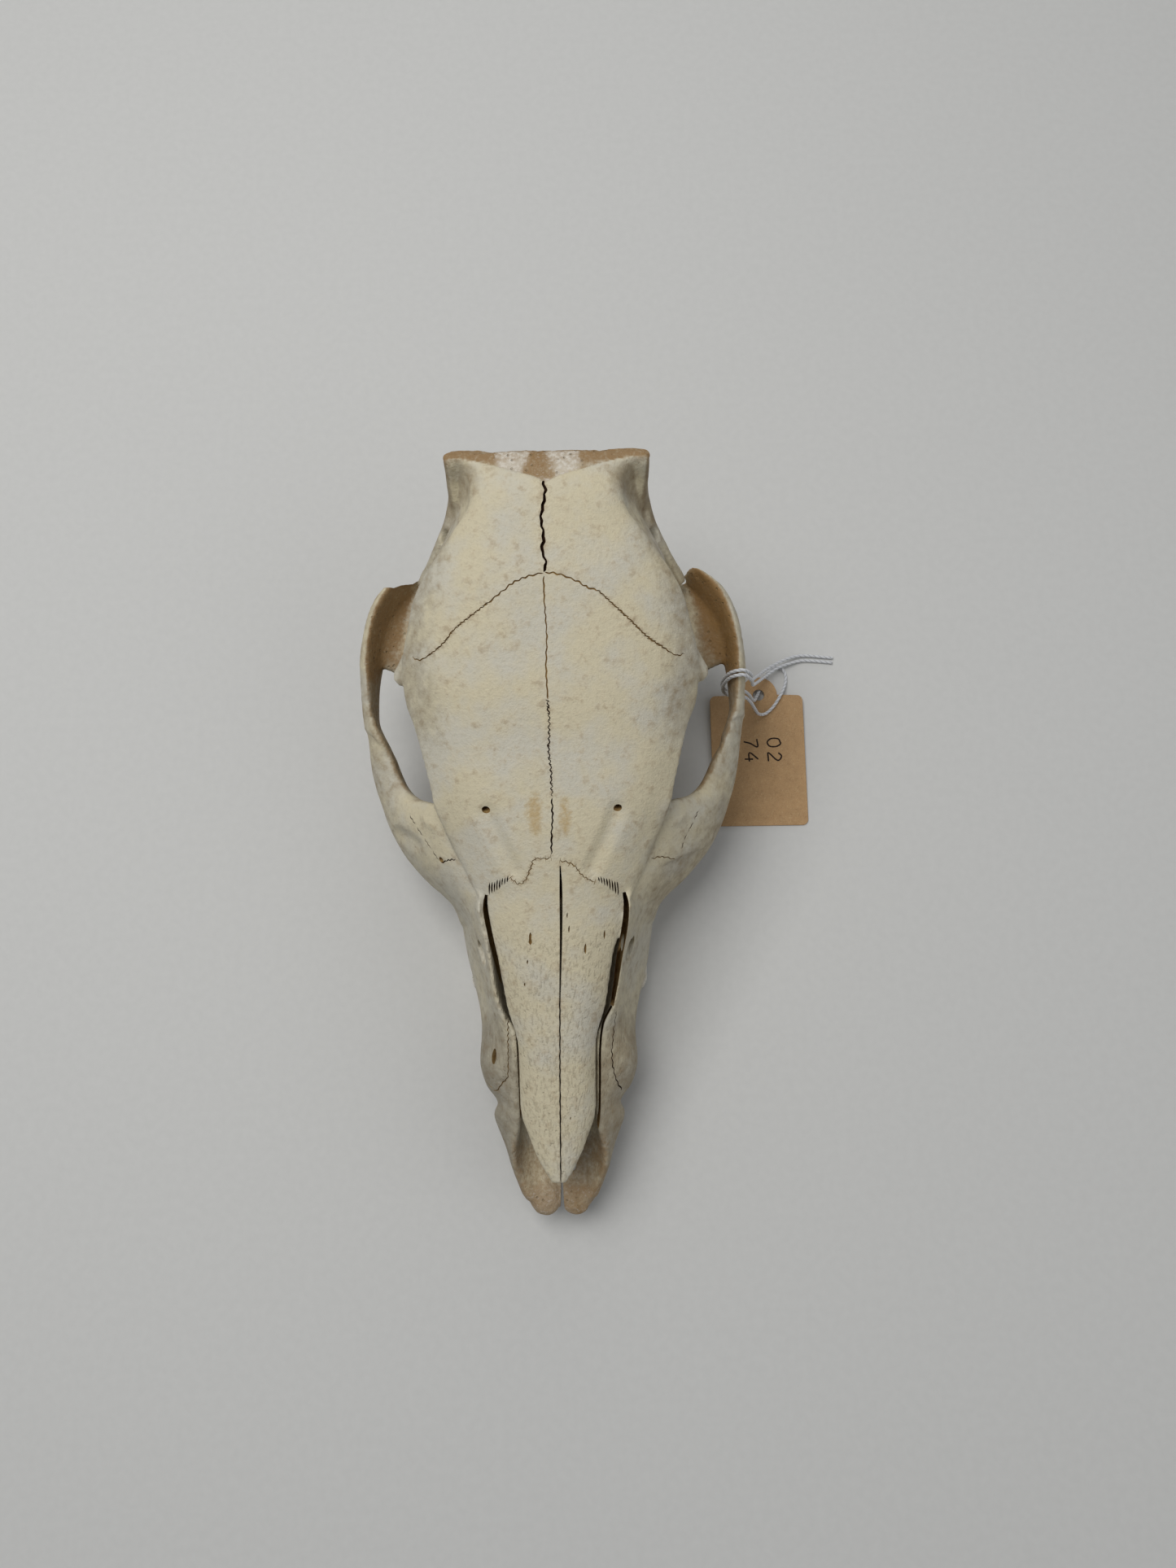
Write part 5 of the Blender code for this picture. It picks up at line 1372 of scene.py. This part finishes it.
class PIGLET_OT_stage(bpy.types.Operator):
    """Sets up the camera, a pale floor and soft studio light"""

    bl_idname = "piglet.stage"
    bl_label = "Stage"

    def execute(self, context):
        settings = context.scene.piglet_stage
        scene = context.scene
        tilt, roll = math.radians(CAMERA_TILT), math.radians(CAMERA_ROLL)
        toward = Vector((0, math.sin(tilt), -math.cos(tilt)))
        up = Vector((0, math.cos(tilt), math.sin(tilt)))
        right = Vector((1, 0, 0))
        right, up = (
            math.cos(roll) * right + math.sin(roll) * up,
            -math.sin(roll) * right + math.cos(roll) * up,
        )
        data = bpy.data.cameras.new("photo_view")
        data.lens = CAMERA_LENS
        data.sensor_width = CAMERA_SENSOR
        data.clip_start = 0.01
        camera = bpy.data.objects.new("photo_view", data)
        place = Matrix((right, up, -toward)).transposed().to_4x4()
        place.translation = Vector(CAMERA_AIM) - toward * CAMERA_DISTANCE
        camera.matrix_world = place
        scene.collection.objects.link(camera)
        scene.camera = camera
        mesh = bmesh.new()
        bmesh.ops.create_grid(mesh, x_segments=8, y_segments=8, size=2.5)
        bmesh.ops.translate(mesh, verts=mesh.verts, vec=(0, 0, -0.00005))
        floor = finish_mesh("floor", mesh, floor_material(tuple(settings.floor)), outward=False)
        for name, spot, size, share in LAMPS:
            data = bpy.data.lights.new(name, "AREA")
            data.energy = settings.light * share
            data.size = size
            lamp = bpy.data.objects.new(name, data)
            lamp.location = spot
            lamp.rotation_euler = (-Vector(spot)).to_track_quat("-Z", "Y").to_euler()
            scene.collection.objects.link(lamp)
        world = bpy.data.worlds.new("studio")
        world.use_nodes = True
        world.node_tree.nodes["Background"].inputs["Color"].default_value = (0.8, 0.84, 0.9, 1)
        world.node_tree.nodes["Background"].inputs["Strength"].default_value = 0.24
        scene.world = world
        scene.view_settings.view_transform = "Standard"
        return {"FINISHED"}


class PIGLET_OT_string(bpy.types.Operator):
    """Lays the two-ply cotton string that ties the tag, made before it, to the cheek arch"""

    bl_idname = "piglet.string"
    bl_label = "String"

    def execute(self, context):
        settings = context.scene.piglet_string
        stops, path = spaced_rows(STRING_ROUTE, 0.22)
        radius = settings.diameter / MM / 2
        turn = settings.twist / MM
        ahead = np.gradient(path, axis=0)
        aside = Vector((0, 0, 1))
        rings, plies = [], []
        for stop, spot, way in zip(stops, path, ahead):
            way = Vector(way).normalized()
            aside = (aside - way * aside.dot(way)).normalized()
            up = way.cross(aside)
            phase = 2 * math.pi * stop / turn
            ring = []
            for corner in range(14):
                angle = 2 * math.pi * corner / 14
                lobe = abs(math.cos(angle - phase))
                reach = radius * (0.76 + 0.24 * lobe**0.7)
                ring.append(Vector(spot) + (aside * math.cos(angle) + up * math.sin(angle)) * reach)
                plies.append(lobe)
            rings.append(ring)
        mesh = bmesh.new()
        skin(mesh, rings)
        string = finish_mesh("cotton_string", mesh, cotton_material(tuple(settings.cotton)))
        # ply is 1 on the crest of a ply and 0 in the groove between the plies, where the cotton material
        # paints shade.
        layer = string.data.attributes.new("ply", "FLOAT", "POINT")
        layer.data.foreach_set("value", np.array(plies, np.float32))
        string.data.shade_smooth()
        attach(string, BODY)
        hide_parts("string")
        return {"FINISHED"}


class PIGLET_OT_tag(bpy.types.Operator):
    """Cuts the card tag and writes its number"""

    bl_idname = "piglet.tag"
    bl_label = "Tag"

    def execute(self, context):
        settings = context.scene.piglet_tag
        card = card_material(tuple(settings.card))
        foot = Vector((0, TAG_FOOT, 0)) * MM
        lift = Matrix.Rotation(TAG_LIFT, 3, "X")
        mesh = bmesh.new()
        outline = box_outline(9)
        skin(mesh, [[(x, y, z) for x, y in outline] for z in (0, TAG_THICKNESS)])
        bmesh.ops.rotate(mesh, verts=mesh.verts, cent=foot, matrix=lift)
        tag = finish_mesh("card_tag", mesh, card)
        mesh = bmesh.new()
        place = Matrix.Translation(Vector((*TAG_TAB_CENTRE, 1)) * MM)
        radius = TAG_HOLE_RADIUS * MM
        bmesh.ops.create_cone(
            mesh, cap_ends=True, segments=40, radius1=radius, radius2=radius, depth=6 * MM, matrix=place
        )
        cut(tag, finish_mesh("punch", mesh, card))
        bevel = tag.modifiers.new("worn edges", "BEVEL")
        bevel.width = 0.00012
        bevel.segments = 2
        bevel.limit_method = "ANGLE"
        settle(tag)
        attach(tag, BODY)
        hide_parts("tag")
        mesh = bmesh.new()
        chance = np.random.default_rng(3)
        pen = settings.pen / MM / 2
        for index, digit in enumerate(settings.number.replace(" ", "")):
            row, place = divmod(index, 2)
            for stroke in DIGITS[digit]:
                rows = []
                for across, up in stroke:
                    # The digits read from the card's foot edge, so their up points to its left edge.
                    x = DIGITS_START[0] - row * DIGITS_STEP[0] + up * DIGITS_SIZE[0]
                    y = DIGITS_START[1] - place * DIGITS_STEP[1] - across * DIGITS_SIZE[1]
                    x, y = x + chance.uniform(-0.1, 0.1), y + chance.uniform(-0.1, 0.1)
                    rows.append((x, y, TAG_THICKNESS + 0.002, pen, 0.018))
                skin(mesh, limb_rings(rows, along=5, corners=8))
        bmesh.ops.rotate(mesh, verts=mesh.verts, cent=foot, matrix=lift)
        ink = finish_mesh("tag_number", mesh, ink_material())
        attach(ink, BODY)
        return {"FINISHED"}


class PIGLET_OT_cranium(bpy.types.Operator):
    """Models the cranium as one piece of bone"""

    bl_idname = "piglet.cranium"
    bl_label = "Cranium"

    def execute(self, context):
        settings = context.scene.piglet_skull
        # The grey and soil colours also lay painted shade on the steep sides and undersides, and the soil
        # and stain colours lay it in the hollows.
        colours = {
            "cream": tuple(settings.cream), "grey": tuple(settings.grey), "stain": tuple(settings.stain),
            "cool": linear("C9C6BB"), "warm": linear("D8C6A4"), "dust": linear("B9AF98"),
            "soil": linear("8E7D62"), "ochre": linear("8F6E42"), "patch": linear("BFA87E"),
            "chalk": linear("D6CEBF"), "pore": linear("8B7754"),
        }
        bone = bone_material(colours)
        dark = gap_material("dark_suture_earth", linear("36200F"), linear("4C3320"))
        tan = gap_material("tan_suture_earth", linear("86683F"), linear("A58958"))
        cranium = finish_mesh("bone_cranium", bone_shells(), bone)
        melt(cranium, settings.voxel, 1)
        cut(cranium, hollow_cutter())
        melt(cranium, settings.voxel, 4)
        roughen(cranium)
        reduce = cranium.modifiers.new("reduce", "DECIMATE")
        reduce.ratio = settings.triangles / 2 / len(cranium.data.polygons)
        settle(cranium)
        cranium.data.materials.clear()
        cranium.data.materials.append(bone)
        mesh = bmesh.new()
        mesh.from_mesh(cranium.data)
        roof = BVHTree.FromBMesh(mesh)
        mesh.free()
        sockets, under = socket_and_floor_cutters(bone)
        cut(
            cranium, break_cutter(bone), *suture_cutters(roof, dark, tan), slot_cutter(tan), sockets, under,
        )
        drop_folds(cranium)
        low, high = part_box("cranium")
        points = np.clip(points_of(cranium.data)[0] * MM, np.array(low) + 1e-5, np.array(high) - 1e-5)
        cranium.data.vertices.foreach_set("co", points.astype(np.float32).ravel())
        cranium.data.update()
        paint_bone(cranium)
        cranium.data.shade_smooth()
        cranium.data.set_sharp_from_angle(angle=math.radians(55))
        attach(cranium, BODY)
        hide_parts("cranium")
        return {"FINISHED"}


class PIGLET_OT_teeth(bpy.types.Operator):
    """Models the eight cheek teeth"""

    bl_idname = "piglet.teeth"
    bl_label = "Cheek teeth"

    def execute(self, context):
        enamel = enamel_material(tuple(context.scene.piglet_teeth.enamel))
        for side, word in ((1, "right"), (-1, "left")):
            for name, *size in CHEEK_TEETH:
                mesh = bmesh.new()
                skin(mesh, crown_rings(*size, side) + tooth_rings(*size, side))
                tooth = finish_mesh(f"enamel_{name}_{word}", mesh, enamel)
                tooth.data.shade_smooth()
                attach(tooth, BODY)
                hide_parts(f"{name}_{word}")
        return {"FINISHED"}


class PIGLET_PT_skull(bpy.types.Panel):
    bl_label = "Piglet skull"
    bl_space_type = "VIEW_3D"
    bl_region_type = "UI"
    bl_category = "Skull"

    def draw(self, context):
        layout = self.layout
        for operator, group, names in (
            ("piglet.stage", "piglet_stage", ("floor", "light")),
            ("piglet.string", "piglet_string", ("diameter", "twist", "cotton")),
            ("piglet.tag", "piglet_tag", ("card", "number", "pen")),
            ("piglet.cranium", "piglet_skull", ("voxel", "triangles", "cream", "grey", "stain")),
            ("piglet.teeth", "piglet_teeth", ("enamel",)),
        ):
            box = layout.box()
            box.operator(operator)
            for name in names:
                box.prop(getattr(context.scene, group), name)


GROUPS = {
    "piglet_skull": SkullSettings, "piglet_teeth": ToothSettings, "piglet_tag": TagSettings,
    "piglet_string": StringSettings, "piglet_stage": StageSettings,
}
CLASSES = (
    *GROUPS.values(), PIGLET_OT_stage, PIGLET_OT_string, PIGLET_OT_tag, PIGLET_OT_cranium, PIGLET_OT_teeth,
    PIGLET_PT_skull,
)


def register():
    for made in CLASSES:
        bpy.utils.register_class(made)
    for name, group in GROUPS.items():
        setattr(bpy.types.Scene, name, PointerProperty(type=group))


def unregister():
    for name in GROUPS:
        delattr(bpy.types.Scene, name)
    for made in reversed(CLASSES):
        bpy.utils.unregister_class(made)


def main():
    register()
    bpy.ops.piglet.stage()
    bpy.ops.piglet.tag()
    bpy.ops.piglet.string()
    bpy.ops.piglet.cranium()
    bpy.ops.piglet.teeth()


if __name__ == "__main__":
    main()
